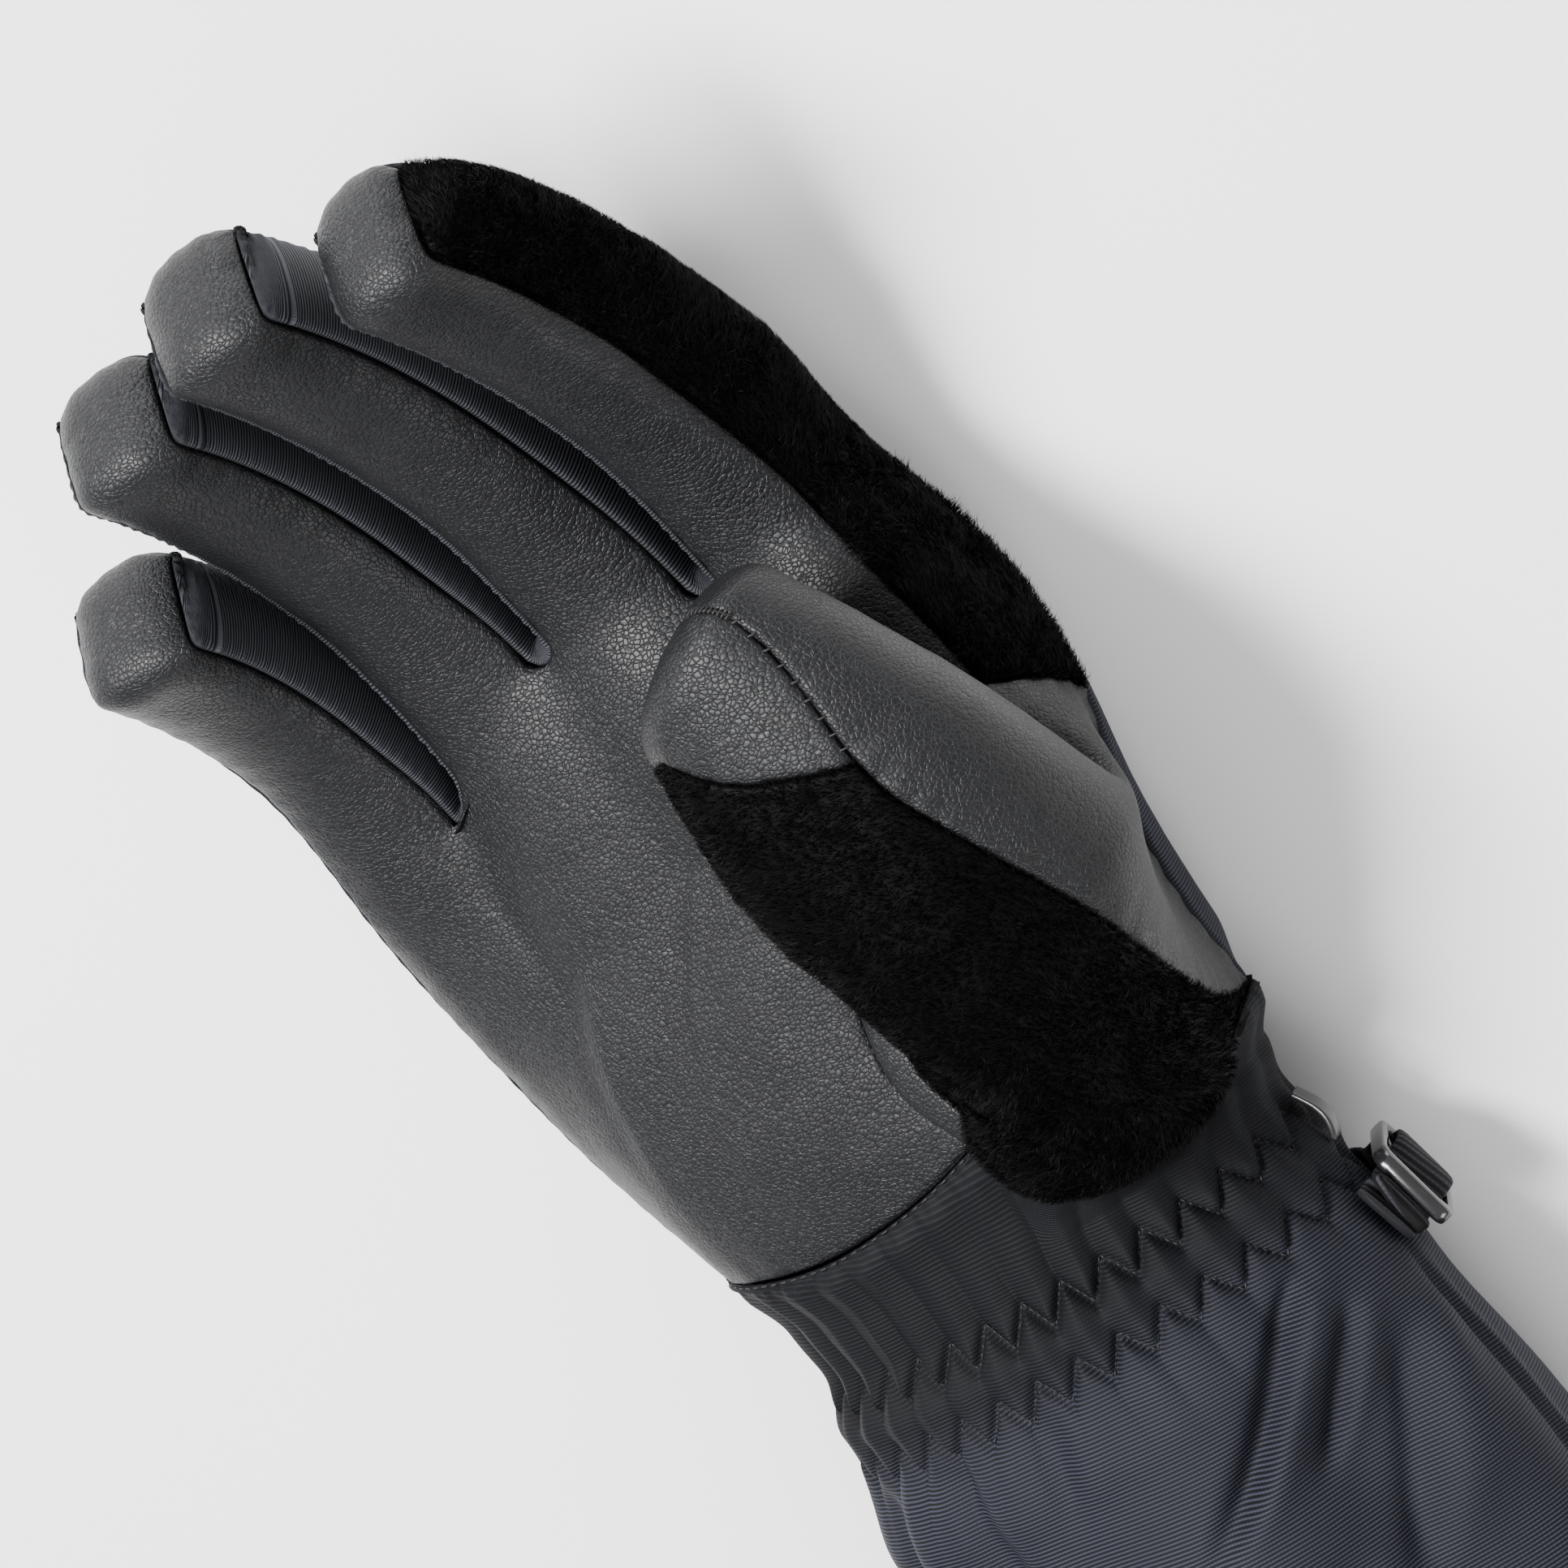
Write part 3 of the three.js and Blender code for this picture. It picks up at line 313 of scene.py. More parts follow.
FRONT_FIRST, FRONT_LAST = finger_strip(FINGERS[0], 0, 1, -1.0), finger_strip(FINGERS[3], 0, 1, 1.0)
BACK_FIRST, BACK_LAST = finger_strip(FINGERS[0], 0, -1, -1.0), finger_strip(FINGERS[3], 0, -1, 1.0)
palm_bottom = spline(hand_points(PALM_WRIST))
palm_left_line = spline(np.vstack([hand_points(PALM_ULNAR), FRONT_FIRST]))
palm_right = side_edge(THUMB_SEAM, INDEX_EDGE, FRONT_LAST)
back_bottom_line = spline(hand_points(BACK_WRIST))
back_left_line = spline(np.vstack([hand_points(BACK_ULNAR), BACK_FIRST]))
back_right = side_edge(BACK_RADIAL, INDEX_BACK_EDGE, BACK_LAST)


def palm_left(row):
    return palm_left_line(np.asarray(row, float) / PALM_ROWS)


def back_left(row):
    return back_left_line(np.asarray(row, float) / PALM_ROWS)


def back_bottom(u):
    p = back_bottom_line(u)
    return np.concatenate([p[..., :2], np.maximum(p[..., 2:], 0)], -1)


def stretched(bottom, left, right, face, u, v):
    """Patch between four edges: the two ruled surfaces added, less the blend of the four corners."""
    row = v * PALM_ROWS
    top, crest = finger_roots(face, u * HAND_CELLS)
    low, lft, rgt = bottom(u), left(row), right(row)
    ends = [bottom(np.array(0.0)), bottom(np.array(1.0)), finger_roots(face, np.array([0.0]))[0][0],
            finger_roots(face, np.array([float(HAND_CELLS)]))[0][0]]
    ruled = mix(low, top, v) + mix(lft, rgt, u)
    corners = mix(mix(ends[0], ends[1], u), mix(ends[2], ends[3], u), v)
    inner_u, inner_v = (smooth(np.minimum(x, 1 - x) * n) for x, n in ((u, HAND_CELLS), (v, PALM_ROWS)))
    return ruled - corners, crest, inner_u, inner_v


def palm_body(u, v):
    """Palm: the stretched patch, raised by a mound, with a soft hollow in its middle."""
    p, crest, inner_u, inner_v = stretched(palm_bottom, palm_left, palm_right, 1, u, v)
    mound = 0.1 * HAND_THICK * np.sin(np.pi * u) * np.sin(np.pi * v)
    hollow = 0.07 * HAND_THICK * np.exp(-((u - 0.5) / 0.2) ** 2 - ((v - 0.45) / 0.25) ** 2)
    return p + UP * (inner_u * (mound - inner_v * hollow - (v - v ** 4) * crest))[..., None]


def back_body(u, v):
    """Back of the hand: the stretched patch, pressed flat below and bulging beside the thumb's leather."""
    p, crest, inner_u, _ = stretched(back_bottom, back_left, back_right, -1, u, v)
    fall = 0.42 * HAND_THICK * (1 - np.abs(2 * u - 1) ** 3) * (1 - v ** 2)
    p = p - UP * (inner_u * ((v - v ** 3) * crest + smooth(v * 8) * fall))[..., None]
    side = np.exp(-((u - 0.955) / 0.035) ** 2) * np.sin(np.pi * np.clip(v / 0.75, 0, 1)) ** 0.7
    p[..., 0] += THUMB_SIDE_BULGE * side
    p[..., 2] = np.maximum(p[..., 2], 0)
    return p


def edge_wall(front, back, row, k, side, last_bulge):
    """Wall of the hand's long edge: straight across, pushed out by a parabola in k."""
    turn = smooth(row - (PALM_ROWS - 1))
    out = np.array([math.copysign(1, side[0]), 0, 0]) * (1 - turn)[..., None] + side * turn[..., None]
    push = lerp(SIDE_BULGE, last_bulge, turn) * 4 * k * (1 - k)
    return mix(front(row), back(row), k) + out * push[..., None]


def ulnar_wall(row, k):
    return edge_wall(palm_left, back_left, row, k, -FINGERS[0]["side"], SIDE_BULGE)


def radial_wall(row, k):
    return edge_wall(palm_right, back_right, row, k, FINGERS[3]["side"], FUR_BULGE * FUR_ROOT)


# Thumb
wrist_thumb = spline(hand_points(WRIST_THUMB))
thumb_line = spline(hand_points(THUMB_AT))


def by_cell(cell, ends, pieces):
    """Points of a loop made of pieces, by the cell number that each piece but the last ends with."""
    place = pieces[-1]
    for end, piece in list(zip(ends, pieces))[::-1]:
        place = np.where(cell[..., None] <= end, piece, place)
    return place


def root_loop(j):
    """Closed edge of the thumb's opening, piece by piece: fur's end, back's edge, wrist seam, palm seam."""
    j = np.mod(np.asarray(j, float), THUMB_CELLS)
    fur = radial_wall(np.full_like(j, FORK_ROW), np.clip(j / WALL_CELLS, 0, 1))
    back = back_right(np.clip(FORK_ROW - (j - WALL_CELLS), 0, FORK_ROW))
    wrist = wrist_thumb(np.clip(1 - (j - LEATHER_CELLS) / WRIST_CELLS, 0, 1))
    palm = palm_right(np.clip(j - PALM_CELL, 0, FORK_ROW))
    return by_cell(j, (WALL_CELLS, LEATHER_CELLS, PALM_CELL), (fur, back, wrist, palm))


def thumb_section(s):
    """Centre, axis and half sizes of the thumb at a share of its length."""
    s = np.clip(s, 0, 1)
    x = s * (len(THUMB_AT) - 1)
    read = lambda table: np.interp(x, np.arange(len(table)), table)
    turn, rise, roll = np.radians(read(THUMB_TURN)), np.radians(read(THUMB_RISE)), np.radians(read(THUMB_ROLL))
    ahead = np.stack([-np.sin(turn) * np.cos(rise), np.cos(turn) * np.cos(rise), np.sin(rise)], -1)
    level = np.stack([np.cos(turn), np.sin(turn), 0 * turn], -1)
    across = level * np.cos(roll)[..., None] - np.cross(level, ahead) * np.sin(roll)[..., None]
    top = np.cross(across, ahead)
    return thumb_line(s), ahead, across, top, read(THUMB_WIDE) * THUMB_WIDTH, read(THUMB_HIGH) * THUMB_THICK


def ring_angle(s, j):
    seam = lerp(SEAM_ANGLE, TIP_SEAM_ANGLE, smooth((s - 0.4) / 0.6))
    span = seam - HIDDEN_SEAM_ANGLE
    first = HIDDEN_SEAM_ANGLE + span * j / LEATHER_CELLS
    second = seam + (360 - span) * (j - LEATHER_CELLS) / (THUMB_CELLS - LEATHER_CELLS)
    return np.where(j <= LEATHER_CELLS, first, second)


def ring_point(s, j):
    """Thumb: a squared oval round its axis, closed at the tip by a quarter ellipse."""
    angle = np.radians(ring_angle(s, j))
    centre, ahead, across, top, wide, thick = thumb_section(s)
    turn = np.clip(s - 1, 0, 1) * np.pi / 2
    close = np.maximum(np.cos(turn), 0) ** 0.7
    c = signed_power(np.cos(angle), 0.9) * wide * close
    n = signed_power(np.sin(angle), 0.9) * thick * close
    return centre + across * c[..., None] + top * n[..., None] + ahead * (THUMB_TIP * np.sin(turn))[..., None]


ROOT_CENTRE = root_loop(np.arange(THUMB_CELLS)).mean(0)


def thumb_root(j, t):
    """Between the opening and the first section: a cubic with set directions at both ends."""
    start = root_loop(j)
    end = ring_point(np.zeros_like(j), j)
    out = unit((start - ROOT_CENTRE) * (1, 1, 0))
    lean = 0.05 - 0.3 * np.exp(-((j - THUMB_CELLS + FORK_ROW - 2) / 1.6) ** 2)
    reach = np.linalg.norm(end - start, axis=-1, keepdims=True)
    leave = unit(UP * 0.9 + out * lean[..., None]) * 0.9 * reach
    arrive = thumb_section(np.zeros_like(j))[1] * 0.7 * reach
    t = t[..., None]
    t2, t3 = t * t, t ** 3
    return start * (2 * t3 - 3 * t2 + 1) + leave * (t3 - 2 * t2 + t) + end * (3 * t2 - 2 * t3) + arrive * (t3 - t2)


def thumb_point(w, j):
    """Thumb by w: 0 to 1 from the opening to the first section, 1 to 3 on to the tip."""
    w, j = np.broadcast_arrays(np.asarray(w, float), np.asarray(j, float))
    s = np.maximum(w - 1, 0)
    lean = -TIP_SKEW * np.sin(np.pi * s / 2) * np.cos(np.radians(ring_angle(s, j) - 10))
    body = ring_point(np.clip(s + lean, 0, 2), j)
    root = thumb_root(j, np.clip(w, 0, 1))
    return np.where((w < 1)[..., None], root, body)


# Wrist and cuff
def seam_loop(m):
    """Closed wrist seam, by cell number: palm, thumb, back and side."""
    m = np.mod(np.asarray(m, float), SEAM_CELLS)
    back_from, side_from = HAND_CELLS + WRIST_CELLS, SEAM_CELLS - WALL_CELLS
    palm = palm_bottom(np.clip(m / HAND_CELLS, 0, 1))
    thumb = wrist_thumb(np.clip((m - HAND_CELLS) / WRIST_CELLS, 0, 1))
    back = back_bottom(np.clip(1 - (m - back_from) / HAND_CELLS, 0, 1))
    side = ulnar_wall(np.zeros_like(m), np.clip(1 - (m - side_from) / WALL_CELLS, 0, 1))
    return by_cell(m, (HAND_CELLS, back_from, side_from), (palm, thumb, back, side))


def ring_read(rings, share, key):
    """One column of a table of rings at a share of its length, eased from ring to ring."""
    i = np.clip(np.searchsorted(rings[:, 0], share, side="left") - 1, 0, len(rings) - 2)
    t = smooth((share - rings[i, 0]) / (rings[i + 1, 0] - rings[i, 0]))
    return lerp(rings[i, key], rings[i + 1, key], t)


def ring_direction(start):
    """Angle of a place on the wrist seam, seen from the middle of the wrist's first ring."""
    high = WRIST_RINGS[0, 2] * HAND_THICK / 2
    aside = (start[..., 0] - WRIST_RINGS[0, 3] * HAND_WIDTH) / (WRIST_RINGS[0, 1] * HAND_WIDTH)
    return np.arctan2(start[..., 2] / high - 1, aside)


def fold_height(angle, share):
    """Long folds of the cuff: a bell in the angle for each, which rises from its start."""
    degrees, lean = np.degrees(angle), 6 * (share - 0.5)
    return sum(FOLD_DEPTH * height * np.exp(-((degrees - at - lean) / width) ** 2) * smooth((share - start) / 0.5)
               for at, width, height, start in FOLDS)


def ring_place(rings, share, angle, out):
    """Squashed circle of the wrist or cuff at a share of its length, a distance out from it."""
    centre, wide = (ring_read(rings, share, key) * HAND_WIDTH for key in (3, 1))
    top = ring_read(rings, share, 2) * HAND_THICK
    x = centre + (wide + out) * np.cos(angle)
    z = top / 2 - BACK_FLAT + (top / 2 + BACK_FLAT + out) * np.sin(angle)
    return x, z


def band_point(m, down, out):
    """Wrist, cuff or hem: the ring at that distance down, which starts in the shape of the seam."""
    start = seam_loop(m)
    angle = ring_direction(start)
    wrist = np.clip(down / WRIST_SPAN, 0, 1)
    cuff = np.clip((down - WRIST_SPAN) / CUFF_LENGTH, 0, 1)
    on_wrist = down <= WRIST_SPAN
    xw, zw = ring_place(WRIST_RINGS, wrist, angle, out)
    xc, zc = ring_place(CUFF_RINGS, cuff, angle, out + fold_height(angle, cuff))
    level = np.clip(1 - down / (WRIST_LENGTH * 0.4), 0, 1)
    y = lerp(WRIST_TOP, start[..., 1], level) - down
    ring = np.stack([np.where(on_wrist, xw, xc), y, np.maximum(0, np.where(on_wrist, zw, zc))], -1)
    return mix(start, ring, np.clip(wrist / 0.12, 0, 1))


# Meshes
def grid_faces(rows, cols, offset, flip=False):
    """Corner numbers of the quads of a grid of points."""
    a = (np.arange(rows - 1)[:, None] * cols + np.arange(cols - 1)).ravel() + offset
    quads = np.stack([a, a + 1, a + cols + 1, a + cols], -1)
    return quads[:, ::-1] if flip else quads


def joined(points, faces, fineness):
    """Gives points that are equal to one part in that fineness of a millimetre one number."""
    cells = np.round(points * fineness).astype(np.int64)
    _, first, number = np.unique(cells, axis=0, return_index=True, return_inverse=True)
    return points[first], number.ravel()[faces]


class Sheet:
    """A sewn panel: one or more grids joined where their points are equal."""

    def __init__(self):
        self.grids, self.maps, self.quads, self.count = [], [], [], 0

    def add(self, points, uv, flip=False):
        rows, cols = points.shape[:2]
        self.quads.append(grid_faces(rows, cols, self.count, flip))
        self.grids.append(points.reshape(-1, 3))
        self.maps.append(np.broadcast_to(uv, points.shape[:2] + (2,)).reshape(-1, 2))
        self.count += rows * cols

    def close(self):
        """Joins equal points, drops empty faces, and finds the edges of the faces and the panel's rim."""
        loose = np.vstack(self.grids)
        self.corner = np.vstack(self.quads)
        self.p, self.face = joined(loose, self.corner, 500)
        self.uv = np.vstack(self.maps)
        same = (self.face == np.roll(self.face, -1, axis=1)).sum(1)
        self.corner, self.face = self.corner[same < 2], self.face[same < 2]
        a, b = self.face, np.roll(self.face, -1, axis=1)
        self.edges = np.stack([a[a != b], b[a != b]], -1)
        size = len(self.p)
        self.rim = self.edges[~np.isin(self.edges @ [size, 1], self.edges @ [1, size])]
        return self

    def normals(self):
        p = self.p[self.face]
        n = np.cross(p[:, 2] - p[:, 0], p[:, 3] - p[:, 1])
        total = np.zeros_like(self.p)
        for k in range(4):
            for axis in range(3):
                total[:, axis] += np.bincount(self.face[:, k], n[:, axis], len(self.p))
        return unit(total)

    def relax(self, times, share=1.0):
        """Moves each point by its share towards the mean of its neighbours, the rim held."""
        pull = np.full(len(self.p), 0.6) * share
        pull[self.rim.ravel()] = 0
        a, b = np.concatenate([self.edges, self.edges[:, ::-1]]).T
        degree = np.maximum(np.bincount(a, minlength=len(self.p)), 1)
        for _ in range(times):
            total = np.stack([np.bincount(a, self.p[b, k], len(self.p)) for k in range(3)], -1)
            self.p = self.p + pull[:, None] * (total / degree[:, None] - self.p)

    def seam(self, only=None):
        """Distance of each point to the rim, and how far along the rim the nearest place lies."""
        steps, batch = (0.0, 0.33, 0.67), 2000
        rim = self.rim if only is None else self.rim[only(self.p[self.rim].mean(1))]
        ends = self.p[rim]
        size = np.linalg.norm(ends[:, 1] - ends[:, 0], axis=1)
        following = {int(start): i for i, start in enumerate(rim[:, 0])}
        run, left = np.zeros(len(rim)), set(range(len(rim)))
        while left:
            i, total = min(left), 0.0
            while i in left:
                left.remove(i)
                run[i] = total
                total += size[i]
                i = following.get(int(rim[i, 1]), -1)
        places = np.concatenate([mix(ends[:, 0], ends[:, 1], np.full(len(ends), s)) for s in steps])
        places_run = np.concatenate([run + s * size for s in steps])
        near, along = np.empty(len(self.p)), np.empty(len(self.p))
        square = (places ** 2).sum(1)
        for start in range(0, len(self.p), batch):
            part = self.p[start:start + batch]
            best = (square - 2 * part @ places.T).argmin(1)
            near[start:start + batch] = np.linalg.norm(part - places[best], axis=1)
            along[start:start + batch] = places_run[best]
        return near, along


def put_mesh(name, points, faces, look, cloth=None, values=None):
    """A mesh object from arrays in millimetres; repeated corners of a face are dropped."""
    places = (points + ORIGIN) * MM
    keep = faces != np.roll(faces, -1, axis=1)
    lengths = keep.sum(1)
    mesh = bpy.data.meshes.new(name)
    mesh.vertices.add(len(places))
    mesh.vertices.foreach_set("co", places.astype(np.float32).ravel())
    mesh.loops.add(int(lengths.sum()))
    mesh.loops.foreach_set("vertex_index", faces[keep].astype(np.int32))
    mesh.polygons.add(len(faces))
    mesh.polygons.foreach_set("loop_start", np.concatenate([[0], np.cumsum(lengths)[:-1]]).astype(np.int32))
    if cloth is not None:
        mesh.uv_layers.new(name="cloth").data.foreach_set("uv", (cloth[keep] * MM).astype(np.float32).ravel())
    for key, numbers in (values or {}).items():
        mesh.attributes.new(key, "FLOAT", "POINT").data.foreach_set("value", numbers.astype(np.float32))
    mesh.update(calc_edges=True)
    mesh.validate()
    mesh.polygons.foreach_set("use_smooth", np.ones(len(mesh.polygons), bool))
    mesh.materials.append(look)
    piece = bpy.data.objects.new(name, mesh)
    bpy.context.scene.collection.objects.link(piece)
    return piece


def put_shell(name, sheet, wall, values, nodes, look):
    """A panel with its thickness: the outer face, the same points a wall further in, and the rim between."""
    inner = sheet.p - sheet.normals() * wall
    size = len(sheet.p)
    a, b = sheet.rim[:, 0], sheet.rim[:, 1]
    rim = np.stack([b, a, a + size, b + size], -1)
    faces = np.vstack([sheet.face, sheet.face[:, ::-1] + size, rim])
    uv = sheet.uv[sheet.corner]
    cloth = np.concatenate([uv, uv[:, ::-1], np.zeros((len(rim), 4, 2))])
    piece = put_mesh(name, np.vstack([sheet.p, inner]), faces, look, cloth,
                     {key: np.concatenate([v, v]) for key, v in values.items()})
    ends = np.empty(len(piece.data.edges) * 2, np.int32)
    piece.data.edges.foreach_get("vertices", ends)
    ends = np.sort(ends.reshape(-1, 2), axis=1)
    border = np.sort(np.concatenate([sheet.rim, sheet.rim + size]), axis=1)
    code = [2 * size, 1]
    sharp = piece.data.attributes.new("sharp_edge", "BOOLEAN", "EDGE")
    sharp.data.foreach_set("value", np.isin(ends @ code, border @ code))
    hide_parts(*nodes)
    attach(piece, "root")


def ring_faces(first, sides):
    """Quads between each ring of points and the next one, by the number of the ring's first point."""
    a, b = (first[..., None] + np.roll(np.arange(sides), -turn) for turn in (0, 1))
    return np.stack([a, b, b + sides, a + sides], -1).reshape(-1, 4)


def tubes(paths, radius, sides=5):
    """Round threads: a ring of that radius at each point of each path, square to the path."""
    count, steps = paths.shape[:2]
    run = unit(np.gradient(paths, axis=1))
    across = unit(np.cross(run, np.where(np.abs(run[..., 2:]) > 0.9, [1.0, 0, 0], UP)))
    up = np.cross(across, run)
    turn = 2 * np.pi * np.arange(sides) / sides
    ring = across[:, :, None] * np.cos(turn)[:, None] + up[:, :, None] * np.sin(turn)[:, None]
    narrowed = np.ones(steps)
    narrowed[[0, -1]] = 0.45
    points = paths[:, :, None] + ring * radius * narrowed[:, None, None]
    first = (np.arange(count)[:, None] * steps + np.arange(steps)) * sides
    faces = [ring_faces(first[:, :-1], sides)]
    for end, a, b in ((0, 1, 0), (-1, 0, 1)):
        corner = first[:, end]
        faces += [np.stack([corner, corner + n + a, corner + n + b, corner + n + b], -1) for n in range(1, sides - 1)]
    return points.reshape(-1, 3), np.vstack(faces)


# Shader maths
class Wire:
    """A node socket that can be added, multiplied and compared like a number."""

    def __init__(self, nodes, socket):
        self.nodes, self.socket = nodes, socket

    def maths(self, operation, *values):
        return self.nodes.node("ShaderNodeMath", {"operation": operation}, *values)

    def __add__(self, other):
        return self.maths("ADD", self, other)

    def __sub__(self, other):
        return self.maths("SUBTRACT", self, other)

    def __rsub__(self, other):
        return self.maths("SUBTRACT", other, self)

    def __mul__(self, other):
        return self.maths("MULTIPLY", self, other)

    def __pow__(self, other):
        return self.maths("POWER", self, other)

    __radd__, __rmul__ = __add__, __mul__

    def sine(self):
        return self.maths("SINE", self)

    def step(self, low, high):
        """Eased step from 0 to 1 between two values."""
        return self.nodes.node("ShaderNodeMapRange", {"interpolation_type": "SMOOTHSTEP"}, self, low, high)


class Look:
    """A material under construction."""

    def __init__(self, name):
        self.material = bpy.data.materials.new(name)
        self.material.use_nodes = True
        self.tree = self.material.node_tree
        self.shader = self.tree.nodes["Principled BSDF"]

    def fill(self, socket, value):
        """Links a wire to the socket, or sets its fixed value."""
        if isinstance(value, Wire):
            self.tree.links.new(value.socket, socket)
        elif value is not None:
            socket.default_value = value

    def node(self, kind, settings, *values, out=0, **named):
        """Adds a node: its settings first, then the values or links of its sockets in order or by name."""
        node = self.tree.nodes.new(kind)
        for key, value in settings.items():
            setattr(node, key, value)
        for key, value in list(enumerate(values)) + [(key.replace("_", " "), v) for key, v in named.items()]:
            self.fill(node.inputs[key], value)
        return Wire(self, node.outputs[out])

    def place(self):
        return self.node("ShaderNodeTexCoord", {}, out="Object")

    def cloth(self):
        return self.node("ShaderNodeUVMap", {"uv_map": "cloth"})

    def value(self, name):
        return self.node("ShaderNodeAttribute", {"attribute_name": name}, out="Fac")

    def split(self, vector):
        node = self.node("ShaderNodeSeparateXYZ", {}, vector)
        return [Wire(self, socket) for socket in node.socket.node.outputs]

    def cloud(self, vector, scale, detail=2.0, rough=0.5):
        return self.node("ShaderNodeTexNoise", {}, Vector=vector, Scale=scale, Detail=detail, Roughness=rough)

    def cells(self, vector, scale, feature):
        return self.node("ShaderNodeTexVoronoi", {"feature": feature}, Vector=vector, Scale=scale)

    def shift(self, vector, amount, scale):
        """The vector, moved by a soft coloured noise."""
        drift = self.node("ShaderNodeTexNoise", {}, Vector=vector, Scale=scale, Detail=1.0, out="Color")
        centred = self.node("ShaderNodeVectorMath", {"operation": "SUBTRACT"}, drift, (0.5, 0.5, 0.5))
        moved = self.node("ShaderNodeVectorMath", {"operation": "SCALE"}, centred, Scale=amount)
        return self.node("ShaderNodeVectorMath", {"operation": "ADD"}, vector, moved)

    def blend(self, share, a, b):
        """Colour a where the share is 0, b where it is 1."""
        node = self.tree.nodes.new("ShaderNodeMix")
        node.data_type = "RGBA"
        for key, value in (("Factor_Float", share), ("A_Color", a), ("B_Color", b)):
            self.fill(next(s for s in node.inputs if s.identifier == key), value)
        return Wire(self, next(s for s in node.outputs if s.identifier == "Result_Color"))

    def bump(self, height, distance, strength):
        return self.node("ShaderNodeBump", {}, Height=height, Distance=distance, Strength=strength)

    def finish(self, colour, rough, normal=None, **fixed):
        """Fills the shader's sockets, each with a link or a fixed value, and gives the material."""
        sockets = self.shader.inputs
        self.fill(sockets["Base Color"], colour)
        self.fill(sockets["Roughness"], rough)
        self.fill(sockets["Normal"], normal)
        for key, value in fixed.items():
            self.fill(sockets[key.replace("_", " ")], value)
        return self.material


def tone(colour, factor=1.0):
    """The colour, lightened or darkened, with full opacity."""
    return (*(part * factor for part in colour[:3]), 1.0)


def leather_look(name, colour, grain_size):
    """Pebbled leather: warped, rounded cells with creases between them painted dark as shade, and painted shade
    beside the seams.
    """
    look = Look(name)
    per_metre = 1.0 / (grain_size * MM)
    place = look.shift(look.place(), 0.0009, 620.0)
    place = look.node("ShaderNodeVectorMath", {"operation": "MULTIPLY"}, place, (0.9, 1.2, 1.0))
    crease = look.cells(place, per_metre, "DISTANCE_TO_EDGE").step(0.0, 0.16)
    near = look.cells(place, per_metre, "F1")
    fine = look.cloud(place, 4.0 / (grain_size * MM))
    patch = look.cloud(look.place(), 45.0, 3.0).step(0.35, 0.65)
    pebble = crease * (0.45 + patch * 0.1) + (1 - near * near * 1.6) * 0.5 + fine * 0.12
    blotch = look.cloud(look.place(), 120.0, 4.0, 0.6)
    seam = look.value("seam").step(0.0, 0.45)
    # Painted shade: the grain's creases are coloured darker than the pebble tops.
    shade = look.blend(crease, tone(colour, 0.4), tone(colour, 1.12))
    shade = look.blend(blotch.step(0.3, 0.75) * 0.3, shade, tone(colour, 1.4))
    # Painted shade in the seam grooves: darker within half a millimetre of a panel's rim.
    shade = look.blend(1 - seam, shade, tone(colour, 0.5))
    rough = 0.5 - crease * 0.1 + blotch * 0.1
    normal = look.bump(pebble, 0.00011, 1.0)
    return look.finish(shade, rough, normal, Specular_IOR_Level=0.3)


def twill_look(name, colour, pitch, slope):
    """Twill: fine slanted ribs along the cloth's own map, each a rounded cord broken by short floats, with painted
    shade on the gathered wrist and beside the seams.
    """
    look = Look(name)
    u, v, _ = look.split(look.shift(look.cloth(), 0.00025, 90.0))
    c, s = math.cos(slope), math.sin(slope)
    across = (u * -s + v * c) * (2 * math.pi / (pitch * MM))
    along = (u * c + v * s) * (2 * math.pi / (pitch * 0.8 * MM))
    rib = across.sine() * 0.5 + 0.5
    floats = (along + across.sine() * 1.2).sine() * 0.5 + 0.5
    weave = rib ** 1.8 * (0.7 + floats * 0.3)
    worn = look.cloud(look.place(), 60.0, 3.0)
    seam = look.value("seam").step(0.0, 0.45)
    shade = look.blend(weave, tone(colour, 0.25), tone(colour, 8.5))
    shade = look.blend(worn.step(0.3, 0.8) * 0.2, shade, tone(colour, 1.5))
    # Painted shade on the gathered wrist, read from its gather value.
    shade = look.blend(look.value("gather") * 0.88, shade, tone(colour, 0.3))
    # Painted shade in the seam grooves: darker within half a millimetre of a panel's rim.
    shade = look.blend(1 - seam, shade, tone(colour, 0.6))
    normal = look.bump(weave, 0.0001, 0.8)
    return look.finish(shade, 0.72 - weave * 0.1, normal, Specular_IOR_Level=0.14)


def fur_look(name, colour):
    """Pile: each hair painted darker at its root as shade and lighter at its tip as sheen, with soft patches of
    darker hair.
    """
    look = Look(name)
    tip = look.value("tip")
    patch = look.cloud(look.place(), 260.0, 3.0).step(0.35, 0.7)
    # Painted shade at each hair's root and a painted sheen at its tip.
    shade = look.blend(tip, tone(colour, 0.2), tone(colour, 1.7))
    shade = look.blend(patch * 0.6, shade, tone(colour, 0.4))
    return look.finish(shade, 0.6, Specular_IOR_Level=0.08)


def plain_look(name, colour, rough, metal=0.0, coat=0.0):
    """Smooth moulded or sewn trim with faint unevenness."""
    look = Look(name)
    cloud = look.cloud(look.place(), 400.0, 3.0)
    shade = look.blend(cloud.step(0.3, 0.7), tone(colour, 0.85), tone(colour, 1.15))
    normal = look.bump(cloud, 0.00003, 0.3)
    return look.finish(shade, rough + 0.08 * cloud, normal, Metallic=metal, Coat_Weight=coat)


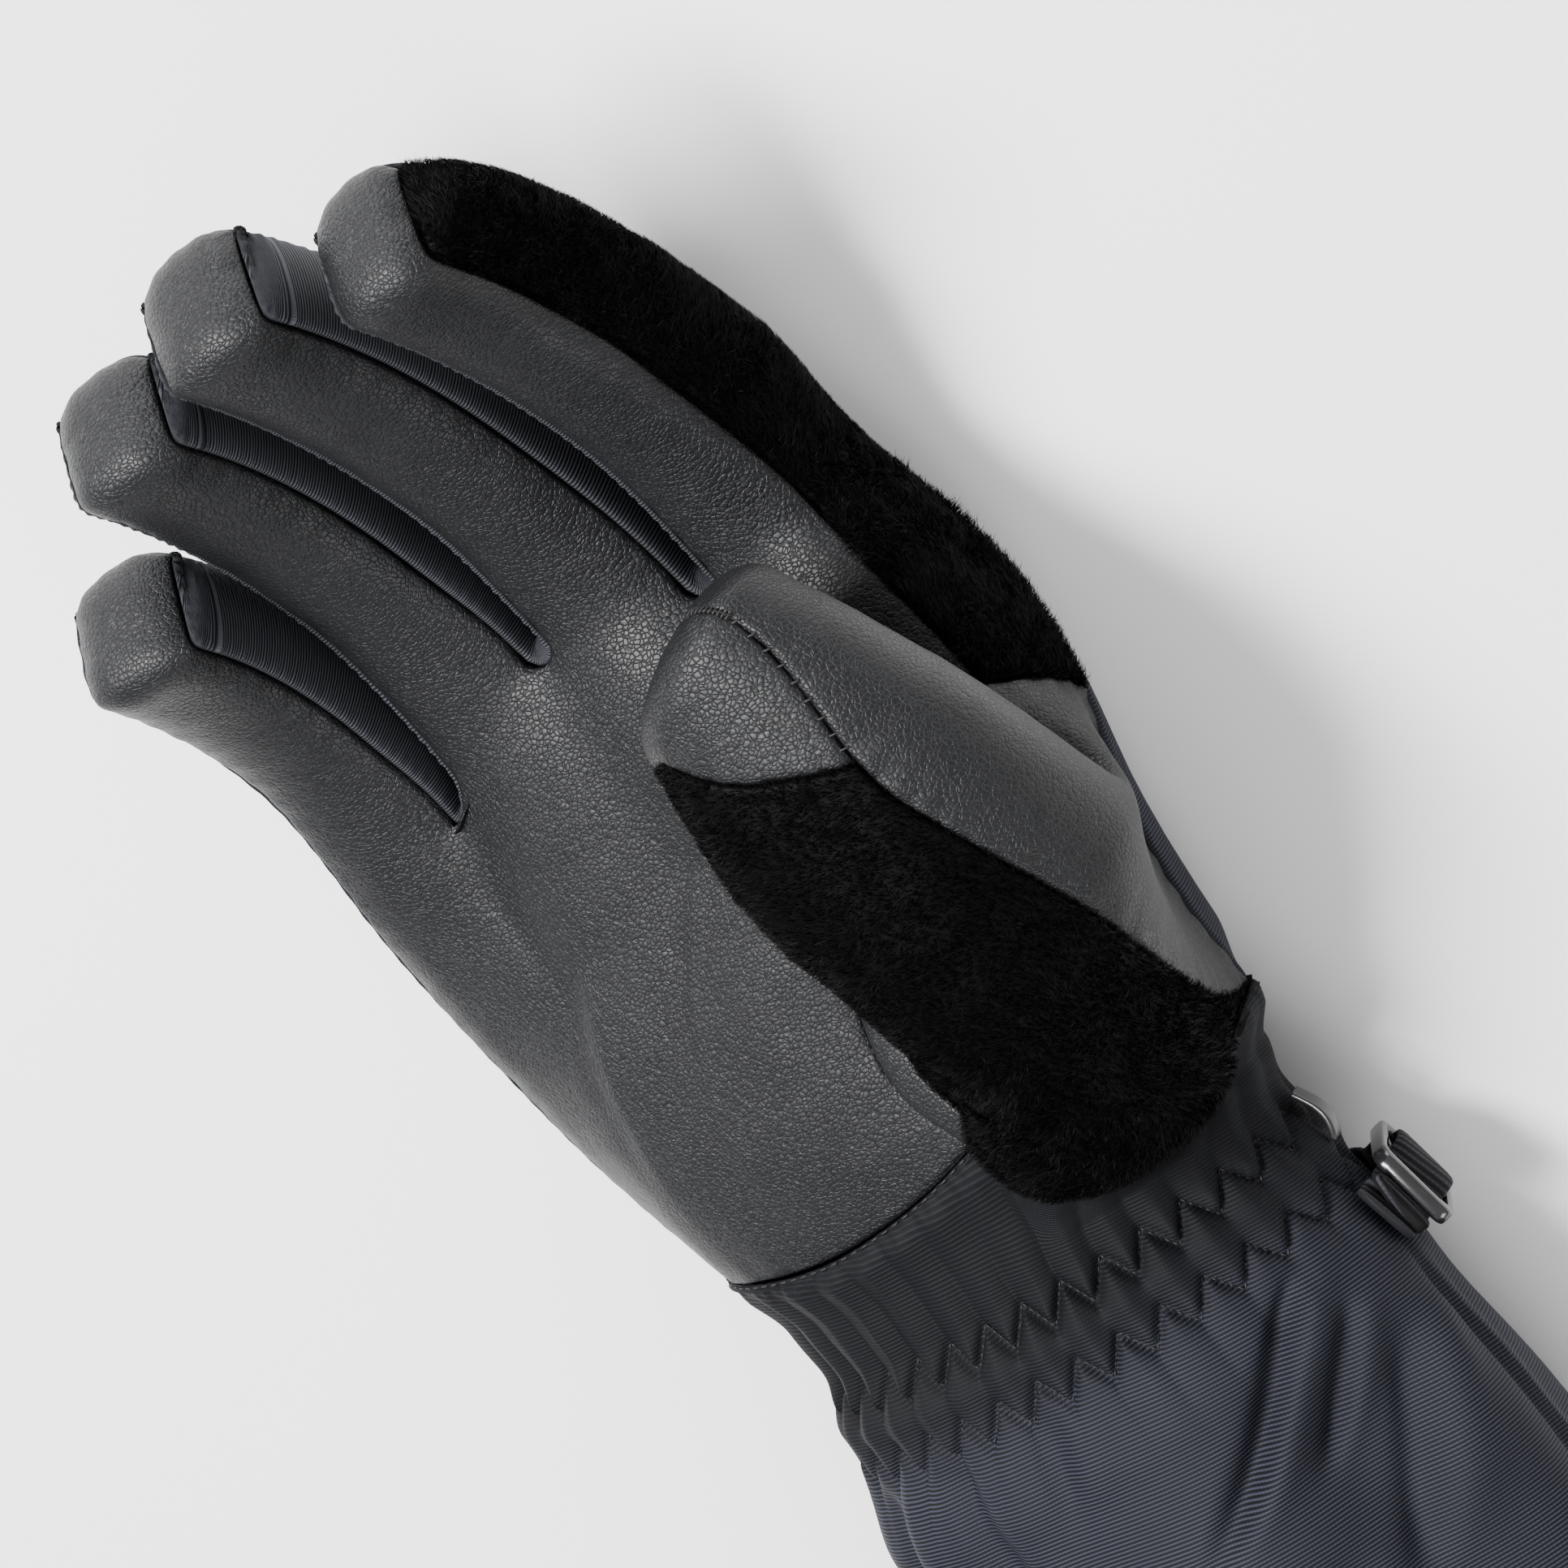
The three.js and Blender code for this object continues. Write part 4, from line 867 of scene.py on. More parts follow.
# Panels of the glove
def cap_rows(step):
    """Rows of a fingertip, evenly spaced along its squared outline."""
    turn = np.linspace(0, 1, 1201)
    length = np.zeros(len(turn))
    for first in (0, np.pi):
        angle = lerp(first, TIP_SEAM, turn)
        up = signed_power(np.cos(angle), TIP_SQUARE) * FINGER_THICK / 2
        out = signed_power(np.sin(angle), TIP_SQUARE) * FINGERTIP
        length += np.concatenate([[0], np.cumsum(np.hypot(np.diff(up), np.diff(out)))])
    return np.interp(marks(length[-1], step, start=False) * length[-1], length, turn)


# Sizes in mm for the cloth maps: a finger's front, the depth of the fingers' and of the hand's walls, one
# row of the palm, and the strip between two fingers
FRONT_WIDE, WALL_DEEP, HAND_WALL_DEEP, HAND_ROW, WEB_WIDE = 24.0, 21.0, 18.0, 11.0, 9.0
ACROSS = marks(FRONT_WIDE, 1.2) * 2 - 1
DEEP = marks(WALL_DEEP, 1.2)
ALONG = np.concatenate([np.arange(0, FINGER_ROWS, 0.1), FINGER_ROWS + CAP_ROWS * cap_rows(0.9)])
BODY_UP = marks(100.0, 1.15)
WEB = np.array([0.25, 0.5, 0.75])


def hand_columns():
    """Columns across the hand that pass through every column of the fingers."""
    parts = []
    for k in range(4):
        parts.append(PITCH_CELLS * k + (ACROSS + 1) * FINGER_CELLS / 2)
        if k < 3:
            parts.append(PITCH_CELLS * k + FINGER_CELLS + WEB)
    return np.concatenate(parts)


def finger_run(finger, row):
    return row * finger["length"] * HAND_LENGTH / FINGER_ROWS


def hand_sheet(body, face):
    """Palm or back: the body and the four finger strips that carry on from it."""
    sheet = Sheet()
    v, u = np.meshgrid(BODY_UP, hand_columns() / HAND_CELLS, indexing="ij")
    points = body(u, v)
    sheet.add(points, points[..., :2], face < 0)
    row, q = np.meshgrid(ALONG, ACROSS, indexing="ij")
    for finger in FINGERS:
        along = finger["root"] * HAND_LENGTH + finger_run(finger, row)
        cloth = np.stack([finger["across"] + q * FRONT_WIDE / 2, along], -1)
        sheet.add(finger_strip(finger, row, face, q), cloth, face < 0)
    return sheet.close()


def wall_grid(finger, side, bulge, root_bulge, power=1.0):
    """Points and cloth map of a finger's side wall."""
    row, k = np.meshgrid(ALONG, DEEP, indexing="ij")
    cloth = np.stack([k * WALL_DEEP, finger_run(finger, row)], -1)
    return finger_wall(finger, row, side, k, bulge, root_bulge, power), cloth


def hand_wall_grid(wall, row):
    """Points and cloth map of a wall of the hand's long edge, for rows of the palm."""
    row, k = np.meshgrid(row, DEEP, indexing="ij")
    return wall(row, k), np.stack([k * HAND_WALL_DEEP, row * HAND_ROW], -1)


def crosswise(cloth):
    """Cloth map turned so that the twill's ribs run across a strip."""
    c, s = math.cos(RIB_SLOPE), math.sin(RIB_SLOPE)
    return np.stack([cloth[..., 0] * c - cloth[..., 1] * s, cloth[..., 0] * s + cloth[..., 1] * c], -1)


def roll_edges(sheet, width, pucker=0.0, pitch=5.0, reach=3.0, seed=0, only=None):
    """Turns a panel's edge down into its seam by a quarter circle, with small puckers along it.

    Gives the distance of each point to the edge."""
    near, along = sheet.seam(only)
    n = sheet.normals()
    share = np.clip(near / width, 0, 1)
    dip = width * (1 - np.sqrt(np.maximum(0, 1 - (1 - share) ** 2)))
    wave = np.sin(2 * np.pi * along / pitch + 2.5 * noise(sheet.p, 14.0, seed))
    puff = pucker * wave * np.exp(-near / reach) * smooth(near / 1.2)
    sheet.p = sheet.p + n * (puff - dip)[:, None]
    return near


def soften(sheet, height, size, seed):
    """Uneven surface of soft goods: two sizes of soft noise along the normal."""
    uneven = noise(sheet.p, size, seed) + 0.4 * noise(sheet.p, size * 0.4, seed + 1)
    sheet.p = sheet.p + sheet.normals() * (height * uneven)[:, None]


def keep_above_floor(sheet):
    sheet.p[:, 2] = np.maximum(sheet.p[:, 2], 0.05)


def thumb_sheet(*patches):
    """Panel of the thumb, from patches given by their w and j."""
    sheet = Sheet()
    for w, j in patches:
        w, j = np.meshgrid(w, j, indexing="ij")
        sheet.add(thumb_point(w, j), np.stack([j * 5.5, w * 45], -1), flip=True)
    return sheet.close()


# Rows of the thumb: up to the gusset's top, on to the tip patch, and on to the tip. Then its columns: on the
# leather, and on the fur along the wrist, the gusset and the palm
GUSSET_TOP = 0.34
GUSSET_UP = np.array([0, 0.006, 0.014, 0.024, 0.036, 0.05, 0.07, 0.09, 0.112, 0.135, 0.16, 0.185, 0.21, 0.235,
                      0.26, 0.283, 0.303, 0.32, 0.332, GUSSET_TOP])
THUMB_MID_UP = np.concatenate([GUSSET_TOP + np.arange(0, 0.64, 0.025),
                               1 + TIP_FROM * marks(44.0, 1.1, start=False)])
THUMB_TIP_UP = 1 + TIP_FROM + (2 - TIP_FROM) * marks(44.0, 1.1, end=False)
LEATHER_J = LEATHER_CELLS * marks(56.0, 1.1)
WRIST_J = LEATHER_CELLS + WRIST_CELLS * marks(60.0, 1.1)
GUSSET_J = PALM_CELL + WALL_CELLS * marks(18.0, 1.1)
PALM_J = GUSSET_CELL + (THUMB_CELLS - GUSSET_CELL) * marks(14.0, 1.1)
FUR_J = np.concatenate([WRIST_J, GUSSET_J[1:], PALM_J[1:]])


# Elastic wrist: two rows of zigzag stitches that pinch the cloth into leaves and long folds
ROUND_ANGLE = np.linspace(-math.pi, math.pi, 721)
ROUND_STEP = np.hypot(0.44 * HAND_WIDTH * np.sin(ROUND_ANGLE), 0.575 * HAND_THICK * np.cos(ROUND_ANGLE))
ROUND_LENGTH = np.concatenate([[0], np.cumsum((ROUND_STEP[1:] + ROUND_STEP[:-1]) / 2)])
ROUND_LENGTH *= ROUND_ANGLE[1] - ROUND_ANGLE[0]
ZIGS = 30
ZIG_PITCH = ROUND_LENGTH[-1] / ZIGS
UPPER_ROW, LOWER_ROW, ZIG_REACH = 21.5, 32.3, 2.7
FIRST_PEAK = np.interp(math.radians(77.4), ROUND_ANGLE, ROUND_LENGTH)
SEAM_M = np.linspace(0, SEAM_CELLS, 40 * SEAM_CELLS + 1)
SEAM_TURN = np.unwrap(ring_direction(seam_loop(np.clip(SEAM_M, 0, SEAM_CELLS - 0.0001))))

# Long diagonal creases of the cuff: share and angle at their start and end, width in mm, depth in mm
CREASES = [(0.1, 36, 0.5, 82, 3.6, 3.6), (0.2, 30, 0.46, 57, 2.6, 2.4), (0.28, 23, 0.74, 53, 4.4, 3.0),
           (0.15, 6.5, 1.2, 9.5, 1.7, 1.5), (0.0, 92, 0.3, 96, 3.0, 1.5), (0.0, 118, 0.5, 112, 4.0, 2.2),
           (0.05, 145, 0.6, 140, 5.0, 2.4), (0.4, 100, 1.0, 118, 6.0, 2.0), (0.55, 60, 1.0, 84, 6.0, 2.2)]


def around(angle):
    """Distance round the wrist ring for a direction."""
    return np.interp((angle + np.pi) % (2 * np.pi) - np.pi, ROUND_ANGLE, ROUND_LENGTH)


def seam_place(angle):
    """Cell number of the wrist seam for a direction."""
    turns = SEAM_TURN[::-1]
    wrapped = turns[0] + np.mod(angle - turns[0], 2 * np.pi)
    return np.interp(wrapped, turns, SEAM_M[::-1])


def zigzag(run):
    """Triangle wave from -1 to 1 along the ring, 1 where the two rows lie furthest apart."""
    a = (run - FIRST_PEAK) / ZIG_PITCH
    return 1 - 4 * np.abs(a - np.round(a))


def pinched(angle, down, depth):
    """Height of the gathered cloth: leaves between the rows, ridges that fade above and below, stitched valleys."""
    run = around(angle)
    place = np.stack([np.cos(angle) * 48, np.sin(angle) * 26, down * 0.6], -1)
    wave = zigzag(run)
    upper, lower = UPPER_ROW - ZIG_REACH * wave, LOWER_ROW + ZIG_REACH * wave
    between = np.clip((down - upper) / (lower - upper), 0, 1)
    leaf = np.sin(np.pi * between) ** 0.7 * (0.4 + 0.6 * smooth((wave + 1) / 2))
    bent = zigzag(run + 1.6 * noise(place, 13.0, 5) * smooth(np.maximum(upper - down, down - lower) / 10))
    ridge = np.maximum(0, 0.5 - 0.5 * bent) ** 0.8
    above = np.maximum(upper - down, 0)
    below = np.maximum(down - lower, 0)
    strength = lerp(0.85, 1.25, smooth((np.degrees(angle) - 85) / 40)) * (1 + 0.35 * noise(place, 17.0, 9))
    up_fold = ridge * (1 - np.exp(-above / 1.4)) * lerp(1.0, 0.6, smooth(above / 16)) * (above > 0)
    down_fold = ridge * (1 - np.exp(-below / 1.4)) * np.exp(-below / 9.0) * (below > 0)
    gap = np.minimum(np.abs(down - upper), np.abs(down - lower)) * 0.6
    stitch = np.exp(-(gap / 0.55) ** 2)
    return depth * (leaf + strength * (up_fold + down_fold) - 0.45 * stitch - 0.5)


def creased(angle, down):
    """Cuff folds: each a narrow valley with a softer swelling beside it, along a slanting line."""
    share = np.clip((down - WRIST_SPAN) / CUFF_LENGTH, 0, 1.12)
    degrees = np.degrees(angle)
    total = 0
    for start, a0, end, a1, width, depth in CREASES:
        t = (share - start) / (end - start)
        off = np.radians(degrees - lerp(a0, a1, t)) * 52.0
        window = smooth(t / 0.25 + 0.15) * smooth((1 - t) / 0.35)
        swelling = 0.55 * np.exp(-((off + 1.9 * width) / (1.5 * width)) ** 2)
        total = total + depth * window * (swelling - np.exp(-(off / width) ** 2))
    return total


def cloth_out(angle, down, depth):
    """How far the wrist's and cuff's cloth stands out from its ring."""
    start = smooth(down / 4.0)
    place = np.stack([np.cos(angle) * 52, np.sin(angle) * 30, down], -1)
    on_cuff = down - WRIST_SPAN
    slack = smooth((on_cuff - 8) / 20)
    soft = 0.9 * noise(place, 30.0, 51) + 0.35 * noise(place, 11.0, 52)
    folds = creased(angle, down) * smooth((on_cuff - 4) / 8)
    out = start * pinched(angle, down, depth) * (1 - slack) + folds + slack * soft
    turn = np.degrees(angle)
    strap = smooth((turn - STRAP_LOW + 12) / 8) * smooth((STRAP_HIGH + 8 - turn) / 8)
    strap = strap * smooth(2 - np.abs(on_cuff - STRAP_OFFSET) / 6.5)
    return lerp(out, np.minimum(out, -0.2), strap)


def band_sheet(down, depth):
    """Ring of cloth at those distances below the wrist seam, with its gathers and folds."""
    sheet = Sheet()
    down, m = np.meshgrid(down, np.linspace(0, SEAM_CELLS, 385), indexing="ij")
    angle = ring_direction(seam_loop(m))
    points = band_point(m, down, cloth_out(angle, down, depth))
    run = around(angle)
    turn = np.cumsum(np.abs(np.diff(run[0], prepend=run[0, 0])) % (ROUND_LENGTH[-1] * 0.9))
    sheet.add(points, np.stack([-np.broadcast_to(turn, run.shape), down], -1), flip=True)
    return sheet.close()


def over_ring(rings, degrees, down, out):
    """A place over the wrist (or cuff) from its angle, its distance below the seam and its height."""
    degrees, down, out = np.broadcast_arrays(np.asarray(degrees, float), down, out)
    start, length = (WRIST_SPAN, CUFF_LENGTH) if rings is CUFF_RINGS else (0, WRIST_SPAN)
    share, angle = np.clip((down - start) / length, 0, 1), np.radians(degrees)
    fold = fold_height(angle, share) if rings is CUFF_RINGS else 0
    x, z = ring_place(rings, share, angle, out + GATHER + fold)
    return np.stack([x, WRIST_TOP - down, z], -1)


def ribbon(line, side, width, thick, sides=16):
    """Closed band along a line of points: rounded rectangles square to it, drawn together at both ends."""
    run = unit(np.gradient(line, axis=0))
    side = unit(side - run * (side * run).sum(-1, keepdims=True))
    up = np.cross(side, run)
    turn = 2 * np.pi * (np.arange(sides) + 0.5) / sides
    w, t = signed_power(np.cos(turn), 0.5) * width / 2, signed_power(np.sin(turn), 0.6) * thick / 2
    ring = side[:, None] * w[:, None] + up[:, None] * t[:, None]
    ends = [np.repeat(line[[k], None], sides, 1) for k in (0, -1)]
    points = np.concatenate([ends[0], line[:, None] + ring, ends[1]])
    corner = ring_faces(np.arange(len(points) - 1) * sides, sides)
    length = np.concatenate([[0], np.cumsum(np.linalg.norm(np.diff(line, axis=0), axis=1))])
    length = np.concatenate([length[:1], length, length[-1:]])
    cloth = np.stack(np.broadcast_arrays(length[:, None], w[None]), -1).reshape(-1, 2)
    return *joined(points.reshape(-1, 3), corner, 1e4), cloth[corner]


def round_corners(half_x, half_y, radius, steps=8):
    """Outline of a rectangle with round corners, as points in a plane."""
    turn = np.linspace(0, np.pi / 2, steps)
    parts = []
    for k, (x, y) in enumerate(((1, 1), (-1, 1), (-1, -1), (1, -1))):
        a = turn + k * np.pi / 2
        middle = np.array([x * (half_x - radius), y * (half_y - radius)])
        parts.append(middle + radius * np.stack([np.cos(a), np.sin(a)], -1))
    return np.concatenate(parts)


def hoop(inner, outer, low, high, sides=14):
    """Closed ring between two outlines: round in section, from one height to the other."""
    turn = 2 * np.pi * np.arange(sides) / sides
    share = 0.5 + 0.5 * signed_power(np.cos(turn), 0.6)
    plane = mix(inner[:, None], outer[:, None], np.broadcast_to(share, (len(inner), sides)))
    tall = (low + high) / 2 + (high - low) / 2 * signed_power(np.sin(turn), 0.6)
    points = np.concatenate([plane, np.broadcast_to(tall, (len(inner), sides))[..., None]], -1).reshape(-1, 3)
    here, k = np.arange(len(inner))[:, None] * sides, np.arange(sides)
    after, last = np.roll(here, -1, axis=0), np.roll(k, -1)
    return points, np.stack([here + k, after + k, after + last, here + last], -1).reshape(-1, 4)


def strands(sheet, count, length, width, lay, seed):
    """Pile: tapered blades rooted evenly over a sheet, leaning along the lay and bent over at their tips."""
    rng = np.random.default_rng(seed)
    p, n = sheet.p, sheet.normals()
    corners = p[sheet.face]
    area = np.linalg.norm(np.cross(corners[:, 2] - corners[:, 0], corners[:, 3] - corners[:, 1]), axis=1)
    pick = rng.choice(len(area), count, p=area / area.sum())
    a, b = rng.random((2, count, 1))
    quad, quad_n = corners[pick], n[sheet.face[pick]]
    bilinear = lambda q: (q[:, 0] * (1 - a) + q[:, 1] * a) * (1 - b) + (q[:, 3] * (1 - a) + q[:, 2] * a) * b
    root, normal = bilinear(quad), unit(bilinear(quad_n))
    swirl = np.stack([noise(root, 9.0, seed + k) for k in range(3)], -1)
    tuft = np.stack([noise(root, 2.6, seed + k) for k in range(3, 6)], -1)
    lean = lay + 0.7 * swirl + 0.8 * tuft + 0.5 * rng.standard_normal((count, 3))
    lean = lean - normal * (lean * normal).sum(1, keepdims=True)
    size = length * (0.7 + 0.5 * rng.random((count, 1))) * (1 + 0.25 * noise(root, 5.0, seed + 6)[:, None])
    t = np.array([0.0, 0.55, 1.0])[None, :, None]
    rise = t - 0.42 * t ** 2
    run = 0.5 * t + 0.55 * t ** 2
    spine = root[:, None] + normal[:, None] * (size[:, None] * rise) + lean[:, None] * size[:, None] * run * 0.55
    flat = unit(np.cross(normal, lean) + 0.8 * rng.standard_normal((count, 3)))[:, None]
    half = width / 2 * (1 - 0.85 * t ** 1.5)
    blade = np.stack([spine - flat * half, spine + flat * half], 2).reshape(count, 6, 3)
    points = np.concatenate([blade[:, :4], spine[:, 2:]], 1).reshape(-1, 3)
    base = np.arange(count)[:, None] * 5
    faces = np.concatenate([base + [0, 1, 3, 2], base + [2, 3, 4, 4]])
    return points, faces, np.tile([0.0, 0.0, 0.55, 0.55, 1.0], count)


def put_fur(name, sheet, width, lay, seed, look):
    points, faces, tip = strands(sheet, sizes().hairs, sizes().pile, width, np.array(lay), seed)
    piece = put_mesh(name, points, faces, look, values={"tip": tip})
    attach(piece, "root")


class GloveSizes(bpy.types.PropertyGroup):
    """Sizes of the finishes"""

    grain: FloatProperty(name="Grain", default=0.8, min=0.3, max=3,
                         description="Width of one pebble of the leather, in mm")
    rib: FloatProperty(name="Rib", default=0.6, min=0.3, max=3,
                       description="Distance between two ribs of the twill, in mm")
    pile: FloatProperty(name="Pile", default=2.0, min=0.5, max=10, description="Length of the fur, in mm")
    hairs: IntProperty(name="Hairs", default=64000, min=100, max=64000,
                       description="Number of hairs on each fur panel")
    gather: FloatProperty(name="Gathers", default=1.8, min=0, max=4,
                          description="Depth of the wrist's gathers, in mm")
    thread: FloatProperty(name="Thread", default=0.34, min=0.1, max=1,
                          description="Thickness of the sewing thread, in mm")


class GloveColours(bpy.types.PropertyGroup):
    """Colours of the finishes"""

    leather: FloatVectorProperty(name="Leather", description="Colour of the leather", subtype="COLOR",
                                 default=(0.0040, 0.0042, 0.0053))
    twill: FloatVectorProperty(name="Twill", description="Colour of the twill", subtype="COLOR",
                               default=(0.0037, 0.0040, 0.0061))
    # The strips' colour is the twill's made lighter: painted light for strips that lie in the forks' shade.
    strips: FloatVectorProperty(name="Strips", description="Colour of the twill round the finger forks",
                                subtype="COLOR", default=(0.0090, 0.0094, 0.0112))
    fur: FloatVectorProperty(name="Fur", description="Colour of the fur", subtype="COLOR",
                             default=(0.0011, 0.0011, 0.0013))
    thread: FloatVectorProperty(name="Thread", description="Colour of the thread", subtype="COLOR",
                                default=(0.003, 0.003, 0.0037))
    buckle: FloatVectorProperty(name="Buckle", description="Colour of the buckle", subtype="COLOR",
                                default=(0.010, 0.010, 0.011))


def sizes():
    return bpy.context.scene.glove_sizes


def colours():
    return bpy.context.scene.glove_colours


def once(name, make, *settings):
    """The material of that name, made the first time it is asked for."""
    return bpy.data.materials.get(name) or make(name, *settings)


def leather():
    return once("grain_leather_look", leather_look, colours().leather, sizes().grain)


def twill():
    return once("twill_look", twill_look, colours().twill, sizes().rib, RIB_SLOPE)


def lit_strip_twill():
    """The narrow strips' cloth: the twill in a lighter colour, painted light for strips that lie in the forks' shade.
    """
    return once("strip_twill_look", twill_look, colours().strips, sizes().rib, RIB_SLOPE)


class GLOVE_OT_palm(bpy.types.Operator):
    """Leather palm with the fronts of the four fingers"""

    bl_idname = "glove.palm"
    bl_label = "Leather palm"

    def execute(self, context):
        sheet = hand_sheet(palm_body, 1)
        sheet.relax(6)
        roots = np.exp(-((sheet.p[:, 1] / HAND_LENGTH - 0.84) / 0.2) ** 4)
        sheet.relax(70, roots)
        soften(sheet, 0.28, 13.0, 1)
        near = roll_edges(sheet, 0.9, pucker=0.14, pitch=5.5, reach=3.0, seed=2)
        put_shell("palm_panel", sheet, LEATHER_WALL, {"seam": near},
                  ["palm_leather"], leather())
        return {"FINISHED"}


class GLOVE_OT_back(bpy.types.Operator):
    """Twill back of the hand and of the four fingers"""

    bl_idname = "glove.back"
    bl_label = "Twill back"

    def execute(self, context):
        sheet = hand_sheet(back_body, -1)
        sheet.relax(6)
        near = roll_edges(sheet, 1.1, pucker=0.06, pitch=6.0, reach=4.0, seed=3)
        keep_above_floor(sheet)
        put_shell("back_panel", sheet, BACK_WALL, {"seam": near}, ["back_fabric"], twill())
        return {"FINISHED"}


class GLOVE_OT_sides(bpy.types.Operator):
    """Twill strips round the finger forks and along the little finger"""

    bl_idname = "glove.sides"
    bl_label = "Twill sides"

    def execute(self, context):
        for k, node in enumerate(("fork_ring_little", "fork_middle_ring", "fork_index_middle")):
            near_wall, near_cloth = wall_grid(FINGERS[k], 1, SIDE_BULGE * 0.9, 0.78, 0.5)
            far_wall, far_cloth = wall_grid(FINGERS[k + 1], -1, SIDE_BULGE * 0.9, 0.78, 0.5)
            web = np.concatenate([[0], WEB, [1]])[:, None]
            arch = (4 * web * (1 - web)) ** 0.7
            joint = mix(near_wall[:1], far_wall[:1], np.broadcast_to(web, (len(web), len(DEEP))))
            tongue = FORK_TONGUE * smooth(DEEP / 0.16) * (1 - 0.5 * DEEP) * smooth((1 - DEEP) / 0.2)
            ahead = arch * (tongue - FORK_ROUND * (1 - smooth(DEEP / 0.16)))
            joint = joint + FINGERS[k + 1]["plan"] * ahead[..., None]
            joint_cloth = np.stack(np.broadcast_arrays(DEEP * WALL_DEEP, web * WEB_WIDE), -1)
            sheet = Sheet()
            sheet.add(near_wall[::-1], crosswise(near_cloth[::-1] * (1, -1)), flip=True)
            sheet.add(joint, crosswise(joint_cloth), flip=True)
            sheet.add(far_wall, crosswise(far_cloth + (0, WEB_WIDE)), flip=True)
            sheet.close()
            sheet.relax(5)
            near = roll_edges(sheet, 0.4, pucker=0.3, pitch=2.3, reach=2.2, seed=4 + k)
            # The fork strips take the lighter copy of the twill: painted light for strips in the forks' shade.
            put_shell(node + "_strip", sheet, SIDE_WALL, {"seam": near}, [node], lit_strip_twill())
        sheet = Sheet()
        grids = hand_wall_grid(ulnar_wall, BODY_UP * PALM_ROWS), wall_grid(FINGERS[0], -1, SIDE_BULGE, 1)
        for points, cloth in grids:
            sheet.add(points, crosswise(cloth), flip=True)
        sheet.close()
        sheet.relax(6)
        near = roll_edges(sheet, 0.8, pucker=0.12, pitch=5.0, reach=3.5, seed=8)
        put_shell("ulnar_strip", sheet, SIDE_WALL, {"seam": near}, ["ulnar_side"], twill())
        return {"FINISHED"}


class GLOVE_OT_index_fur(bpy.types.Operator):
    """Fur along the thumb side of the index finger"""

    bl_idname = "glove.index_fur"
    bl_label = "Index finger fur"

    def execute(self, context):
        sheet = Sheet()
        row = FORK_ROW + (PALM_ROWS - FORK_ROW) * marks(38.0, 1.2, end=False)
        sheet.add(*hand_wall_grid(radial_wall, row))
        sheet.add(*wall_grid(FINGERS[3], 1, FUR_BULGE, FUR_ROOT))
        sheet.close()
        sheet.relax(8)
        hair = once("fur_look", fur_look, colours().fur)
        near = roll_edges(sheet, 1.0)
        # The backing is coloured as the lower hair: painted shade under the pile.
        put_shell("index_fur_backing", sheet, FUR_WALL, {"seam": near, "tip": np.full_like(near, 0.3)},
                  ["index_fur"], hair)
        put_fur("index_fur_pile", sheet, 0.17, (0.25, 0.9, 0.1), 11, hair)
        return {"FINISHED"}


class GLOVE_OT_thumb(bpy.types.Operator):
    """Thumb: leather outer side, tip patch, gusset and fur"""

    bl_idname = "glove.thumb"
    bl_label = "Thumb"

    def execute(self, context):
        sheet = thumb_sheet((np.concatenate([GUSSET_UP[:-1], THUMB_MID_UP, THUMB_TIP_UP[1:]]), LEATHER_J))
        sheet.relax(8)
        soften(sheet, 0.3, 13.0, 21)
        near = roll_edges(sheet, 1.3, pucker=0.28, pitch=6.0, reach=3.5, seed=22)
        put_shell("thumb_leather_panel", sheet, LEATHER_WALL, {"seam": near},
                  ["thumb_leather"], leather())
        sheet = thumb_sheet((THUMB_TIP_UP, FUR_J))
        sheet.relax(6)
        soften(sheet, 0.25, 12.0, 23)
        near = roll_edges(sheet, 1.3, pucker=0.2, pitch=5.0, reach=3.0, seed=24)
        put_shell("thumb_tip_patch", sheet, LEATHER_WALL, {"seam": near},
                  ["thumb_tip"], leather())
        sheet = thumb_sheet((GUSSET_UP, GUSSET_J))
        near = roll_edges(sheet, 0.9)
        put_shell("thumb_gusset_patch", sheet, GUSSET_WALL, {"seam": near},
                  ["thumb_gusset"], leather())
        sheet = thumb_sheet((GUSSET_UP, WRIST_J), (GUSSET_UP, PALM_J), (THUMB_MID_UP, FUR_J))
        sheet.relax(8)
        # Painted shade: the thumb's fur takes a copy of the fur colour at less than half its brightness.
        hair = once("deep_fur_look", fur_look, tone(colours().fur, 0.45))
        near = roll_edges(sheet, 1.0)
        # The backing is coloured as the lower hair: painted shade under the pile.
        put_shell("thumb_fur_backing", sheet, FUR_WALL, {"seam": near, "tip": np.full_like(near, 0.25)},
                  ["thumb_fur"], hair)
        put_fur("thumb_fur_pile", sheet, 0.18, (-0.5, 0.7, 0.1), 31, hair)
        return {"FINISHED"}


